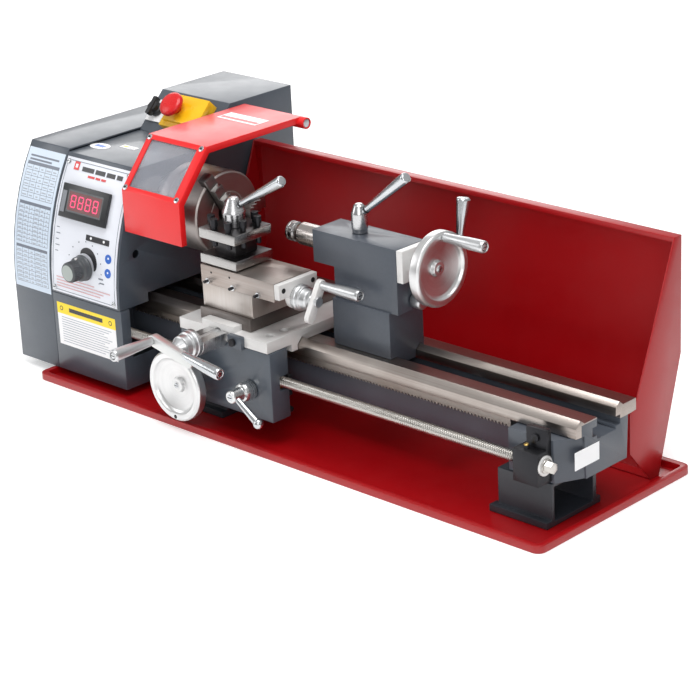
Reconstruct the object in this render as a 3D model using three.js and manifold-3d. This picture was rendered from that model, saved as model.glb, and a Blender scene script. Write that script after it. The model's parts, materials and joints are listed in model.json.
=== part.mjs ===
// A bench metal lathe with a chip tray: 210 mm swing, about 400 mm between centres.
// Millimetres, +X from headstock to tailstock, +Y to the back, +Z up.
// The origin is the centre of the chip tray's underside.
import * as THREE from "three";
import { mergeVertices } from "three/addons/utils/BufferGeometryUtils.js";
import Module from "manifold-3d";

const wasm = await Module();
wasm.setup();

// ---------------------------------------------------------------- driving dimensions
const BED_LENGTH = 763;
const BED_WIDTH = 100;
const BED_DEPTH = 62.5;
const CENTRE_HEIGHT = 109; // spindle line above the flat ways
const FOOT_HEIGHT = 49;
const TRAY_WIDTH = 258;
const TRAY_SHEET = 1.5;
const TRAY_RIM = 9;
const TRAY_LEFT_ROOM = 14; // tray beyond the bed's left end
const TRAY_RIGHT_ROOM = 9;
const HEAD_LENGTH = 123;
const GEAR_COVER_LENGTH = 71;
const CHUCK_RADIUS = 50;
const SPINDLE_RADIUS = 17.5;
const SPINDLE_BORE = 20;
const LEADSCREW_RADIUS = 6;
const SADDLE_LENGTH = 142;
const SLIDE_WIDTH = 81;
const TOOL_POST = 58;
const TOOL_SLOT = 18;
const QUILL_RADIUS = 13;
const TAILSTOCK_LENGTH = 125;
const WHEEL_RADIUS = 42;
const HANDLE_LENGTH = 57;
const GUARD_LENGTH = 97;
const GAP = 0.3; // between pieces that touch
const RUN = 0.35; // round a shaft in its hole
const WALL = 2.5; // of a cast or moulded cover
const SHEET = 1.5; // of the splash guard and chuck guard

// ---------------------------------------------------------------- main planes and stations
const TRAY_LENGTH = TRAY_LEFT_ROOM + BED_LENGTH + TRAY_RIGHT_ROOM;
const SPINDLE_Y = -7.5;
const BED_BOTTOM = TRAY_SHEET + FOOT_HEIGHT + 2 * GAP;
const WAY = BED_BOTTOM + BED_DEPTH;
const SPINDLE_Z = WAY + CENTRE_HEIGHT;
const BED_RIGHT = TRAY_LENGTH / 2 - TRAY_RIGHT_ROOM;
const BED_LEFT = BED_RIGHT - BED_LENGTH;
const HEAD_LEFT = BED_LEFT - 2;
const HEAD_RIGHT = HEAD_LEFT + HEAD_LENGTH;
const CHUCK_BACK = HEAD_RIGHT + 25;
const CHUCK_FACE = CHUCK_BACK + 66;
const SADDLE_LEFT = CHUCK_FACE + 14;
const SADDLE_RIGHT = SADDLE_LEFT + SADDLE_LENGTH;
const TAIL_BASE_LEFT = SADDLE_RIGHT + 34;
const Y = (v) => SPINDLE_Y + v; // from the spindle plane
const Z = (v) => WAY + v; // from the flat ways
const S = (v) => SPINDLE_Z + v; // from the spindle line
const HEAD_FRONT = -98;
const HEAD_TOP = S(51);
const HEAD_BOTTOM = TRAY_RIM + 1.5;
const BOX_FRONT = 60; // rear box: foot of its sloping face
const BOX_TOP = HEAD_TOP + 42;
const BOX_BACK = 206;
const SPLASH_LEFT = HEAD_RIGHT + 2;
const SPLASH_RIGHT = BED_RIGHT - 12;
const SPLASH_BACK = 144.5; // from the spindle plane
const PAD_FRONT = -64; // front face of the bed's end pads, which carry the leadscrew
const ARC_RADIUS = 309; // of the headstock's curved front
const BEARING_RADIUS = 31; // outside of a spindle bearing
const GEAR_COVER_TOP = HEAD_TOP + 3;
const PANEL_THICK = 1;
const KNOB_X = HEAD_LEFT + 64;
const KNOB_Z = Z(39);
const SWITCH_LIFT = 2.8; // room for the switch plate under the selector knob
const MOTOR_Y = 122;
const MOTOR_Z = Z(60);
const MOTOR_PULLEY = 20;
const SPINDLE_PULLEY = 46;
const BELT_X = HEAD_LEFT - 20; // middle of the belt
const MODULE = 2; // of the change gears
const SCREW_Y = -75; // leadscrew, from the spindle plane and the ways
const SCREW_Z = -39;
const CHAIN_BEND = 18; // the gear centres' path beyond the straight line from spindle to leadscrew
const TEETH = { spindle: 16, upper: 0, lower: 36, leadscrew: 16 };
const CHAIN = Math.hypot(SCREW_Y, SCREW_Z - CENTRE_HEIGHT) + CHAIN_BEND;
TEETH.upper = Math.round(CHAIN / MODULE - (TEETH.spindle + TEETH.leadscrew) / 2 - TEETH.lower);
const GEAR_X = HEAD_LEFT - 50; // middle of the change gears
const PIN = 6; // radius of the idlers' pins
const SCREW_END = 4.5;
const JAW_WIDTH = 14;
const JAW_ANGLES = [30, 150, 270]; // from straight up towards the front
const SLOT_DEPTH = 9;
const HINGE_Y = 119;
const HINGE_Z = HEAD_TOP + 31.5;
const GUARD_LEFT = HEAD_RIGHT + 3;
const GUARD_RIGHT = GUARD_LEFT + GUARD_LENGTH;
const APRON_FRONT = -97;
const SLIDE_TOP = 29; // of the cross slide, over the ways
const CROSS_X = SADDLE_LEFT + 64; // middle of the cross slide
const CROSS_Z = 9; // cross-feed screw
const POST_X = SADDLE_LEFT + 54;
const POST_Y = -53;
const COMPOUND_BOTTOM = 57;
const POST_BOTTOM = CENTRE_HEIGHT - TOOL_SLOT - 11.5 + 1;
const COMPOUND_LEFT = CROSS_X - SLIDE_WIDTH / 2 + 2;
const COMPOUND_RIGHT = COMPOUND_LEFT + 117;
const COMPOUND_Z = COMPOUND_BOTTOM + 0.5;
const WHEEL_X = SADDLE_LEFT + 17; // carriage handwheel
const WHEEL_Z = -58;
const WHEEL_FACE = -130;
const NUT_X = SADDLE_LEFT + 111; // half-nut lever
const NUT_Z = -48;
const BARREL_FRONT = -136;
const CRANK_LEAN = 30; // of the compound's crank from upright, towards the back
const TAIL_HALF = 23; // half width of the tailstock's head
const TAIL_NOSE = TAIL_BASE_LEFT - 29;
const TAIL_RIGHT = TAIL_NOSE + TAILSTOCK_LENGTH;
const TAIL_TOP = 18.5;
const NOSE_OUT = 42; // quill showing at rest
const QUILL_LENGTH = 110;
const TAIL_PLATE = 9;
const TAIL_WHEEL = TAIL_RIGHT + 47;
const LOCK_X = TAIL_NOSE + 51; // quill lock
const CLAMP_Y = 4; // pivot of the clamp lever
const CLAMP_Z = 64;

// ---------------------------------------------------------------- shapes
const BASIS = {
  x: new THREE.Matrix4().makeBasis(v3(0, 1, 0), v3(0, 0, 1), v3(1, 0, 0)),
  y: new THREE.Matrix4().makeBasis(v3(0, 0, 1), v3(1, 0, 0), v3(0, 1, 0)),
  z: new THREE.Matrix4(),
};

function v3(x, y, z) {
  return new THREE.Vector3(x, y, z);
}

// A closed geometry as a solid: shared corners merged, slivers dropped, faces turned outwards.
function solid(geometry) {
  const bare = geometry.clone();
  bare.deleteAttribute("normal");
  bare.deleteAttribute("uv");
  const merged = mergeVertices(bare, 1e-4);
  const p = merged.attributes.position.array;
  const corner = (i) => v3(p[3 * i], p[3 * i + 1], p[3 * i + 2]);
  const faces = [];
  let volume = 0;
  const index = merged.index.array;
  for (let i = 0; i < index.length; i += 3) {
    const [a, b, c] = index.subarray(i, i + 3);
    if (a === b || b === c || c === a) continue;
    faces.push([a, b, c]);
    volume += corner(a).dot(corner(b).cross(corner(c)));
  }
  if (volume < 0) faces.forEach((f) => f.reverse());
  const triVerts = new Uint32Array(faces.flat());
  return new wasm.Manifold(new wasm.Mesh({ numProp: 3, vertProperties: p, triVerts }));
}

// A box between two corners.
function block(x0, x1, y0, y1, z0, z1) {
  const g = new THREE.BoxGeometry(x1 - x0, y1 - y0, z1 - z0);
  return solid(g.translate((x0 + x1) / 2, (y0 + y1) / 2, (z0 + z1) / 2));
}

// An outline carried along an axis: its points are [y, z] along x, [z, x] along y, [x, y] along z.
function prism(axis, points, from, to, holes = []) {
  const shape = new THREE.Shape(points.map(([a, b]) => new THREE.Vector2(a, b)));
  for (const hole of holes) shape.holes.push(new THREE.Path(hole.map(([a, b]) => new THREE.Vector2(a, b))));
  const g = new THREE.ExtrudeGeometry(shape, { depth: to - from, bevelEnabled: false });
  return solid(g.translate(0, 0, from).applyMatrix4(BASIS[axis]));
}

// A profile of [radius, place along the axis], turned about an axis through a point.
function turned(axis, at, profile, segments = 20) {
  const g = new THREE.LatheGeometry(profile.map(([r, a]) => new THREE.Vector2(r, a)), segments);
  g.applyMatrix4(new THREE.Matrix4().makeBasis(v3(1, 0, 0), v3(0, 0, 1), v3(0, -1, 0)));
  g.applyMatrix4(BASIS[axis]);
  return solid(g.translate(...at));
}

// A round bar along an axis, from one place on the axis to another.
function bar(axis, at, radius, from, to, segments = 20) {
  return turned(axis, at, [[0, from], [radius, from], [radius, to], [0, to]], segments);
}

// A tapered round bar between two points in space.
function limb(a, b, ra, rb, segments = 12) {
  const along = b.clone().sub(a);
  const g = new THREE.CylinderGeometry(rb, ra, along.length(), segments);
  g.translate(0, along.length() / 2, 0);
  g.applyQuaternion(new THREE.Quaternion().setFromUnitVectors(v3(0, 1, 0), along.normalize()));
  return solid(g.translate(a.x, a.y, a.z));
}

function arc(cx, cy, radius, from, to, steps) {
  return Array.from({ length: steps + 1 }, (_, i) => {
    const t = from + ((to - from) * i) / steps;
    return [cx + radius * Math.cos(t), cy + radius * Math.sin(t)];
  });
}

function join(first, ...others) {
  return others.reduce((sum, other) => sum.add(other), first);
}

function cut(first, ...others) {
  return others.reduce((rest, other) => rest.subtract(other), first);
}

// ---------------------------------------------------------------- materials
function finish(color, roughness, metalness, opacity = 1) {
  return new THREE.MeshStandardMaterial({ color, roughness, metalness, opacity, transparent: opacity < 1 });
}
const RED = finish(0xb4101c, 0.35, 0);
const GREY = finish(0x525a66, 0.45, 0);
const LIGHT = finish(0xd8d5ce, 0.5, 0);
const STEEL = finish(0xb6afa8, 0.3, 1);
const SATIN = finish(0xc6cac9, 0.35, 1);
const BLACK = finish(0x1a1a1c, 0.45, 0);
const BRASS = finish(0xb08a3a, 0.35, 1);
const YELLOW = finish(0xf2b50c, 0.4, 0);
const PANEL = finish(0xecedf0, 0.4, 0);
const CLEAR = finish(0xd8dde0, 0.1, 0, 0.3);
const RUBBER = finish(0x202022, 0.8, 0);

const group = new THREE.Group();

function piece(name, body, material) {
  const mesh = body.getMesh();
  const g = new THREE.BufferGeometry();
  g.setAttribute("position", new THREE.BufferAttribute(new Float32Array(mesh.vertProperties), 3));
  g.setIndex(new THREE.BufferAttribute(new Uint32Array(mesh.triVerts), 1));
  const part = new THREE.Mesh(g, material);
  part.name = name;
  group.add(part);
}

// ---------------------------------------------------------------- tray, guard, feet, bed
function roundedPlan(halfX, halfY, radius) {
  const x = halfX - radius;
  const y = halfY - radius;
  const q = Math.PI / 2;
  const corners = [[x, y, 0], [-x, y, 1], [-x, -y, 2], [x, -y, 3]];
  return corners.flatMap(([cx, cy, k]) => arc(cx, cy, radius, k * q, (k + 1) * q, 4));
}

function chipTray() {
  const rim = 8;
  const outside = prism("z", roundedPlan(TRAY_LENGTH / 2, TRAY_WIDTH / 2, 10), 0, TRAY_RIM);
  const inside = roundedPlan(TRAY_LENGTH / 2 - rim, TRAY_WIDTH / 2 - rim, 4);
  piece("chip_tray", cut(outside, prism("z", inside, TRAY_SHEET, TRAY_RIM + 1)), RED);
}

// One folded sheet with a closing panel at each end. Its foot rests on the tray.
function splashGuard() {
  const floor = TRAY_SHEET + GAP;
  const top = Math.max(Z(150), S(41));
  const knee = Z(18);
  const s = SHEET;
  const sheet = [
    [Y(91), floor], [Y(106), floor], [Y(SPLASH_BACK), knee], [Y(SPLASH_BACK), top], [Y(132), top],
    [Y(132), top - 6], [Y(132 + s), top - 6], [Y(132 + s), top - s], [Y(SPLASH_BACK - s), top - s],
    [Y(SPLASH_BACK - s), knee + 0.4], [Y(106 - s), floor + s], [Y(91), floor + s],
  ];
  const end = [
    [Y(91), floor], [Y(106), floor], [Y(SPLASH_BACK), knee], [Y(SPLASH_BACK), top], [Y(132), top],
    [Y(64), Z(-19)], [Y(55), Z(-25)], [Y(55), BED_BOTTOM - 7],
  ];
  piece(
    "splash_guard",
    join(
      prism("x", sheet, SPLASH_LEFT, SPLASH_RIGHT),
      prism("x", end, SPLASH_LEFT, SPLASH_LEFT + s),
      prism("x", end, SPLASH_RIGHT - s, SPLASH_RIGHT),
    ),
    RED,
  );
}

function bed() {
  const half = BED_WIDTH / 2;
  const web = half - 14;
  const outline = [
    [-34, -BED_DEPTH], [34, -BED_DEPTH], [web, -20], [web, -14.5], [half, -13.5], [half, 0],
    [28, 0], [22, 5], [16, -0.5], [15.5, -10], [23, -10], [23, -20], [15.5, -20], [15.5, -24],
    [-15.5, -24], [-15.5, -20], [-23, -20], [-23, -10], [-15.5, -10], [-15.5, 0],
    [-half + 14, 0], [-half + 7, 5], [-half, -2.5], [-half, -13.5], [-web, -14.5], [-web, -20],
  ].map(([y, z]) => [Y(y), Z(z)]);
  const pad = (x0, x1, chamfer) =>
    prism("z", [[x0, Y(-30)], [x0, Y(PAD_FRONT)], [x1 - chamfer, Y(PAD_FRONT)], [x1, Y(-30)]],
      BED_BOTTOM, Z(-15));
  const bays = 5;
  const rib = 14;
  const first = BED_LEFT + 26;
  const bay = (BED_RIGHT - 72 - first - (bays - 1) * rib) / bays;
  const pockets = Array.from({ length: bays }, (_, i) => {
    const x = first + i * (bay + rib);
    return block(x, x + bay, Y(-25), Y(25), BED_BOTTOM - 1, Z(-20.5));
  });
  // The left pad has a boss that carries the leadscrew's left end.
  const boss = block(BED_LEFT + 8, BED_LEFT + 24, Y(SCREW_Y - 12), Y(PAD_FRONT + 5),
    Z(SCREW_Z - 13), Z(SCREW_Z + 13));
  const screwHole = bar("x", [0, Y(SCREW_Y), Z(SCREW_Z)], SCREW_END + RUN, BED_LEFT + 2, BED_LEFT + 30, 16);
  const body = join(
    prism("x", outline, BED_LEFT, BED_RIGHT),
    pad(BED_LEFT + 4, BED_LEFT + 70, 0),
    pad(BED_RIGHT - 78, BED_RIGHT, 18),
    boss,
  );
  piece("bed", cut(body, ...pockets, screwHole), GREY);
}

// A cast foot with a flange all round and a tunnel along the bed.
function foot(name, x0, x1) {
  const floor = TRAY_SHEET + GAP;
  const top = BED_BOTTOM - GAP;
  const front = -66;
  const back = 8;
  const body = join(
    block(x0, x1, Y(front), Y(back), floor, top),
    block(x0 - 6, x1, Y(front - 8), Y(back + 7), floor, floor + 8),
  );
  piece(name, cut(body, block(x0 - 9, x1 + 9, Y(front + 5), Y(back - 6), floor + 6, top - 5)), GREY);
}

function feedRack() {
  const rack = block(BED_LEFT + 90, BED_RIGHT - 89, Y(-47), Y(-BED_WIDTH / 2 + 14 - GAP), Z(-24), Z(-14.8));
  piece("feed_rack", rack, STEEL);
}

// ---------------------------------------------------------------- headstock
const lean = (z) => ARC_RADIUS - Math.sqrt(ARC_RADIUS ** 2 - Math.max(0, z - WAY) ** 2);

// Front line of the headstock from one height to another, moved inwards by an inset.
function frontLine(from, to, inset, steps = 6) {
  return Array.from({ length: steps + 1 }, (_, i) => {
    const z = from + ((to - from) * i) / steps;
    return [Y(HEAD_FRONT + lean(z) + inset), z];
  });
}

function headstockCasting() {
  const x0 = HEAD_LEFT + 8;
  const x1 = HEAD_RIGHT - WALL - GAP;
  const body = join(
    block(x0, x1, Y(-46), Y(46), Z(5.5), S(8)),
    bar("x", [0, Y(0), S(0)], 42, x0, x1, 32),
  );
  const bore = bar("x", [0, Y(0), S(0)], SPINDLE_RADIUS + 4, x0 - 1, x1 + 1);
  const seats = [x0 - 1, x1 - 17].map((x) => bar("x", [0, Y(0), S(0)], BEARING_RADIUS + GAP, x, x + 18));
  const bay = block(x0 - 1, x1 - 22, Y(-38), Y(38), Z(14), S(-36));
  piece("headstock_casting", cut(body, bore, ...seats, bay), GREY);
}

function bearing(name, x) {
  const profile = [
    [SPINDLE_RADIUS + GAP, x], [BEARING_RADIUS, x], [BEARING_RADIUS, x + 16],
    [SPINDLE_RADIUS + GAP, x + 16], [SPINDLE_RADIUS + GAP, x],
  ];
  piece(name, turned("x", [0, Y(0), S(0)], profile), STEEL);
}

// Upper cover: front leans back on an arc, open towards the gear cover and the rear box.
function headstockCover() {
  const x0 = HEAD_LEFT;
  const x1 = HEAD_RIGHT;
  const base = Z(-4);
  const rear = Y(BOX_FRONT - GAP);
  const outer = [...frontLine(base, HEAD_TOP, 0), [rear, HEAD_TOP], [rear, base]];
  const inner = [
    ...frontLine(base - 1, HEAD_TOP - WALL, WALL),
    [Y(BOX_FRONT + 5), HEAD_TOP - WALL], [Y(BOX_FRONT + 5), base - 1],
  ];
  const shell = cut(prism("x", outer, x0, x1), prism("x", inner, x0 - 1, x1 - WALL));
  const nose = bar("x", [0, Y(0), S(0)], SPINDLE_RADIUS + 8, x1 - 9, x1 + 9);
  const ways = block(x1 - 9, x1 + 9, Y(-BED_WIDTH / 2 - 2), Y(BED_WIDTH / 2 + 2), base - 1, Z(7));
  const keyHole = bar("x", [0, Y(-66), Z(59)], 5, x1 - 9, x1 + 9, 16);
  piece("headstock_cover", cut(shell, nose, ways, keyHole), GREY);
}

// Lower cover round the bed's left end.
function headstockBase() {
  const x0 = HEAD_LEFT;
  const x1 = HEAD_RIGHT + 1.5;
  const top = Z(-4) - GAP;
  const outside = block(x0, x1, Y(HEAD_FRONT), Y(BOX_FRONT - GAP), HEAD_BOTTOM, top);
  const inside = block(x0 - 1, x1 - WALL, Y(HEAD_FRONT + WALL), Y(BOX_FRONT - WALL),
    HEAD_BOTTOM + WALL, top + 1);
  const ways = block(x1 - 9, x1 + 9, Y(PAD_FRONT - 20), Y(BED_WIDTH / 2 + 2), BED_BOTTOM - 3, top + 1);
  piece("headstock_base_cover", cut(outside, inside, ways), GREY);
}

// End cover over the change gears, open on its right side.
function gearCover() {
  const x1 = HEAD_LEFT - GAP;
  const x0 = HEAD_LEFT - GEAR_COVER_LENGTH;
  const side = (z0, z1, inset) => [
    [Y(HEAD_FRONT + inset), z0], ...frontLine(Z(0), z1, inset),
    [Y(150 - inset), z1], [Y(150 - inset), z0],
  ];
  const outer = prism("x", side(HEAD_BOTTOM, GEAR_COVER_TOP, 0), x0, x1);
  const inner = prism("x", side(HEAD_BOTTOM + WALL, GEAR_COVER_TOP - WALL, WALL), x0 + WALL, x1 + 1);
  piece("gear_cover", cut(outer, inner), GREY);
}

// Rear box over the motor and the drive electronics. Its front slopes at 45 degrees.
function rearBox() {
  const outline = (w) => [
    [Y(BOX_FRONT + w), Z(-4) + w], [Y(BOX_FRONT + w), HEAD_TOP + 0.4 * w],
    [Y(BOX_FRONT + 42) + 0.4 * w, BOX_TOP - w], [Y(BOX_BACK - w), BOX_TOP - w], [Y(BOX_BACK - w), Z(-4) + w],
  ];
  const x1 = HEAD_RIGHT - 3;
  const body = cut(
    prism("x", outline(0), HEAD_LEFT, x1),
    prism("x", outline(WALL), HEAD_LEFT - 1, x1 - WALL),
  );
  const drive = bar("x", [0, Y(MOTOR_Y), MOTOR_Z], 12, HEAD_LEFT - 5, HEAD_LEFT + 5);
  piece("rear_box", cut(body, drive), GREY);
}

function controlPanel() {
  const thick = PANEL_THICK;
  const from = Z(-1);
  const to = HEAD_TOP - 4;
  const face = [...frontLine(from, to, -GAP - thick), ...frontLine(from, to, -GAP).reverse()];
  const x0 = HEAD_LEFT + 3;
  const x1 = HEAD_RIGHT - 3;
  const knob = bar("y", [KNOB_X, 0, KNOB_Z], 5, Y(HEAD_FRONT - 9), Y(HEAD_FRONT + 9), 12);
  piece("control_panel", cut(prism("x", face, x0, x1), knob), PANEL);
}

function speedKnob() {
  const y = Y(HEAD_FRONT + lean(KNOB_Z - 16)) - 2 * GAP - PANEL_THICK;
  const profile = [[0, y - 25], [10.5, y - 25], [12, y - 23.5], [12, y - 9], [15, y - 8], [16, y], [0, y]];
  piece("speed_knob", turned("y", [KNOB_X, 0, KNOB_Z], profile), BLACK);
}

// A tilted box on the panel: two of its edges lie on the leaning front.
function speedDisplay() {
  const z0 = S(-18);
  const z1 = S(20);
  const out = 4;
  const bulge = (z1 - z0) ** 2 / (8 * ARC_RADIUS) + 0.5; // of the panel beyond a flat back
  const face = (z) => Y(HEAD_FRONT + lean(z)) - 2 * GAP - PANEL_THICK - bulge;
  const outline = [
    [face(z0), z0], [face(z0) - out, z0 + 1.5], [face(z1) - out, z1 + 1.5], [face(z1) - 0.4, z1],
  ];
  piece("speed_display", prism("x", outline, HEAD_LEFT + 15, HEAD_LEFT + 98), BLACK);
}

// A slab lying on the rear box's 45 degree face.
function onSlope(x0, x1, up0, up1, lift0, lift1) {
  const g = new THREE.BoxGeometry(x1 - x0, up1 - up0, lift1 - lift0);
  g.translate((x0 + x1) / 2, (up0 + up1) / 2, (lift0 + lift1) / 2);
  g.rotateX(Math.PI / 4);
  return solid(g.translate(0, Y(BOX_FRONT), HEAD_TOP));
}

// A turned shape whose axis stands on that face.
function standing(x, up, profile, segments = 20) {
  const g = new THREE.LatheGeometry(profile.map(([r, a]) => new THREE.Vector2(r, a)), segments);
  g.rotateX(Math.PI / 2);
  g.translate(x, up, 0);
  g.rotateX(Math.PI / 4);
  return solid(g.translate(0, Y(BOX_FRONT), HEAD_TOP));
}

function switches() {
  const plateX = HEAD_LEFT + 15;
  const knob = [[0, SWITCH_LIFT], [9, SWITCH_LIFT], [9, 8], [7, 9], [7, 15], [0, 15]];
  const grip = onSlope(plateX - 3, plateX + 3, 29 - 12, 29 + 12, 9, 17);
  piece("selector_switch", join(standing(plateX, 29, knob), grip), BLACK);
  const boxX = HEAD_LEFT + 74;
  const lid = join(
    onSlope(boxX - 30, boxX + 30, 6, 50, GAP, 16),
    onSlope(boxX - 24, boxX + 36, 12, 44, 15, 21),
  );
  const buttonHole = standing(boxX - 8, 28, [[0, 6], [6.4, 6], [6.4, 30], [0, 30]]);
  piece("stop_switch_box", cut(lid, buttonHole), YELLOW);
  const button = [[0, 12], [6, 12], [6, 28], [14, 29], [16.5, 31], [16.5, 34], [13, 37.5], [0, 39]];
  piece("stop_button", standing(boxX - 8, 28, button), RED);
}

// ---------------------------------------------------------------- drive
function motor() {
  const at = [0, Y(MOTOR_Y), MOTOR_Z];
  const body = bar("x", at, 44, HEAD_LEFT + 6, HEAD_RIGHT - 12, 28);
  const shaftHole = bar("x", at, 7 + RUN, HEAD_LEFT + 5, HEAD_LEFT + 40);
  const mount = block(HEAD_LEFT + 20, HEAD_RIGHT - 30, Y(MOTOR_Y - 30), Y(MOTOR_Y + 30),
    Z(-1), MOTOR_Z - 30);
  piece("motor", cut(join(body, mount), shaftHole), BLACK);
}

// A pulley with two flanges.
function pulleyProfile(radius, x) {
  const flange = radius + 3;
  return [[0, x - 11], [flange, x - 11], [radius, x - 8], [radius, x + 8], [flange, x + 11], [0, x + 11]];
}

function motorPulley() {
  const at = [0, Y(MOTOR_Y), MOTOR_Z];
  piece(
    "motor_pulley",
    join(turned("x", at, pulleyProfile(MOTOR_PULLEY, BELT_X)), bar("x", at, 7, BELT_X, HEAD_LEFT + 38, 16)),
    SATIN,
  );
}

// A flat belt: two arcs joined by the outer tangents, clear of the pulleys by a gap.
function driveBelt() {
  const loop = (grow) => {
    const dy = MOTOR_Y;
    const dz = MOTOR_Z - SPINDLE_Z;
    const angle = Math.atan2(dz, dy);
    const r0 = SPINDLE_PULLEY + grow;
    const r1 = MOTOR_PULLEY + grow;
    const open = Math.acos((r0 - r1) / Math.hypot(dy, dz));
    return [
      ...arc(Y(0), S(0), r0, angle + open, angle + 2 * Math.PI - open, 16),
      ...arc(Y(MOTOR_Y), MOTOR_Z, r1, angle - open, angle + open, 8),
    ];
  };
  piece("drive_belt", prism("x", loop(2.2), BELT_X - 7, BELT_X + 7, [loop(GAP + 0.6)]), RUBBER);
}

// Toothed outline: straight-sided teeth between the root and tip circles.
function gearOutline(y, z, teeth, module, phase) {
  const pitch = (module * teeth) / 2;
  const points = [];
  for (let i = 0; i < teeth; i++) {
    const mid = phase + (2 * Math.PI * i) / teeth;
    const step = (2 * Math.PI) / teeth;
    const root = pitch - 1.2 * module;
    const tip = pitch + 0.8 * module;
    const corners = [[root, -0.3], [tip, -0.13], [tip, 0.13], [root, 0.3]];
    for (const [r, share] of corners) {
      const angle = mid + share * step;
      points.push([y + r * Math.cos(angle), z + r * Math.sin(angle)]);
    }
  }
  return points;
}

// Distance between the centres of two gears in mesh.
function spacing(a, b) {
  return (MODULE * (a + b)) / 2;
}

// The point at distance a from p and b from q, on the side towards the back.
function between(p, q, a, b) {
  const dy = q[0] - p[0];
  const dz = q[1] - p[1];
  const span = Math.hypot(dy, dz);
  const along = (a * a - b * b + span * span) / (2 * span);
  const aside = Math.sqrt(Math.max(0, a * a - along * along));
  return [p[0] + (dy * along - dz * aside) / span, p[1] + (dz * along + dy * aside) / span];
}

// Centres of the four gears as [y, z] from the spindle plane and the ways.
function gearCentres() {
  const first = [0, CENTRE_HEIGHT];
  const last = [SCREW_Y, SCREW_Z];
  const span = Math.hypot(last[0], last[1] - first[1]);
  const reach = spacing(TEETH.spindle, TEETH.upper) / span;
  const upper = [last[0] * reach, first[1] + (last[1] - first[1]) * reach];
  const lowerReach = [spacing(TEETH.upper, TEETH.lower), spacing(TEETH.lower, TEETH.leadscrew)];
  const lower = between(upper, last, ...lowerReach);
  return [first, upper, lower, last];
}

// A gear's phase that puts one of its gaps where its neighbour has a tooth.
function meshPhase(from, to, teethFrom, phaseFrom, teethTo) {
  const direction = Math.atan2(to[1] - from[1], to[0] - from[0]);
  const turns = ((direction - phaseFrom) * teethFrom) / (2 * Math.PI);
  return direction + Math.PI + ((turns - 0.5) * 2 * Math.PI) / teethTo;
}

function gearWheel([y, z], teeth, phase) {
  return prism("x", gearOutline(Y(y), Z(z), teeth, MODULE, phase), GEAR_X - 4, GEAR_X + 4);
}

// The change gears: two idlers on pins, the leadscrew with its own gear. Returns the spindle's gear.
function changeGears() {
  const counts = [TEETH.spindle, TEETH.upper, TEETH.lower, TEETH.leadscrew];
  const at = gearCentres();
  const phase = [0];
  for (let i = 1; i < 4; i++) phase.push(meshPhase(at[i - 1], at[i], counts[i - 1], phase[i - 1], counts[i]));
  const place = (i) => [0, Y(at[i][0]), Z(at[i][1])];
  for (const [i, name] of [[1, "upper_idler_gear"], [2, "lower_idler_gear"]]) {
    const boss = bar("x", place(i), 11, GEAR_X - 7, GEAR_X + 7);
    const bore = bar("x", place(i), PIN + RUN, GEAR_X - 9, GEAR_X + 9, 20);
    piece(name, cut(join(gearWheel(at[i], counts[i], phase[i]), boss), bore), STEEL);
  }
  const rim = PIN + 6;
  const [front, back] = [Math.min(at[1][0], at[2][0]) - rim, Math.max(at[1][0], at[2][0]) + rim];
  const plate = block(HEAD_LEFT - 7, HEAD_LEFT - 1, Y(front), Y(back), Z(at[2][1] - 13), Z(at[1][1] + rim));
  const lug = block(HEAD_LEFT - 3, HEAD_LEFT + 8 - GAP, Y(-38), Y(-16), Z(22), Z(44));
  const pins = [1, 2].map((i) => bar("x", place(i), PIN, GEAR_X - 8, HEAD_LEFT - 5, 20));
  piece("gear_bracket", join(plate, lug, ...pins), GREY);
  piece("leadscrew", leadscrew(gearWheel(at[3], counts[3], phase[3])), STEEL);
  return gearWheel(at[0], counts[0], phase[0]);
}

function leadscrew(gear) {
  const at = [0, Y(SCREW_Y), Z(SCREW_Z)];
  const thread = bar("x", at, LEADSCREW_RADIUS, HEAD_LEFT + 30, BED_RIGHT - 60, 16);
  const ends = bar("x", at, SCREW_END, GEAR_X - 8, BED_RIGHT - 10, 16);
  const collar = bar("x", at, 8, BED_RIGHT - 20.5, BED_RIGHT - 17.5, 16);
  const nut = bar("x", at, 6.5, BED_RIGHT - 18, BED_RIGHT - 9, 6);
  return join(gear, thread, ends, collar, nut);
}

// Hollow spindle with its pulley, its gear and the flange that carries the chuck.
function spindle(gear) {
  const at = [0, Y(0), S(0)];
  const profile = [
    [0, GEAR_X - 10], [13, GEAR_X - 10], [13, GEAR_X + 9], [SPINDLE_RADIUS, GEAR_X + 9],
    [SPINDLE_RADIUS, HEAD_RIGHT + 1], [40, HEAD_RIGHT + 10], [40, CHUCK_BACK - GAP], [0, CHUCK_BACK - GAP],
  ];
  const pulley = turned("x", at, pulleyProfile(SPINDLE_PULLEY, BELT_X), 24);
  const body = join(turned("x", at, profile, 24), pulley, gear);
  piece("spindle", cut(body, bar("x", at, SPINDLE_BORE / 2, GEAR_X - 20, CHUCK_BACK + 9, 20)), STEEL);
}

// ---------------------------------------------------------------- chuck

// Turns a shape made pointing straight up about the spindle line.
function aboutSpindle(shape, degrees) {
  const t = (degrees * Math.PI) / 180;
  const turn = new THREE.Matrix4().makeTranslation(0, SPINDLE_Y, SPINDLE_Z)
    .multiply(new THREE.Matrix4().makeRotationX(t));
  return shape.transform(turn.toArray());
}

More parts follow.
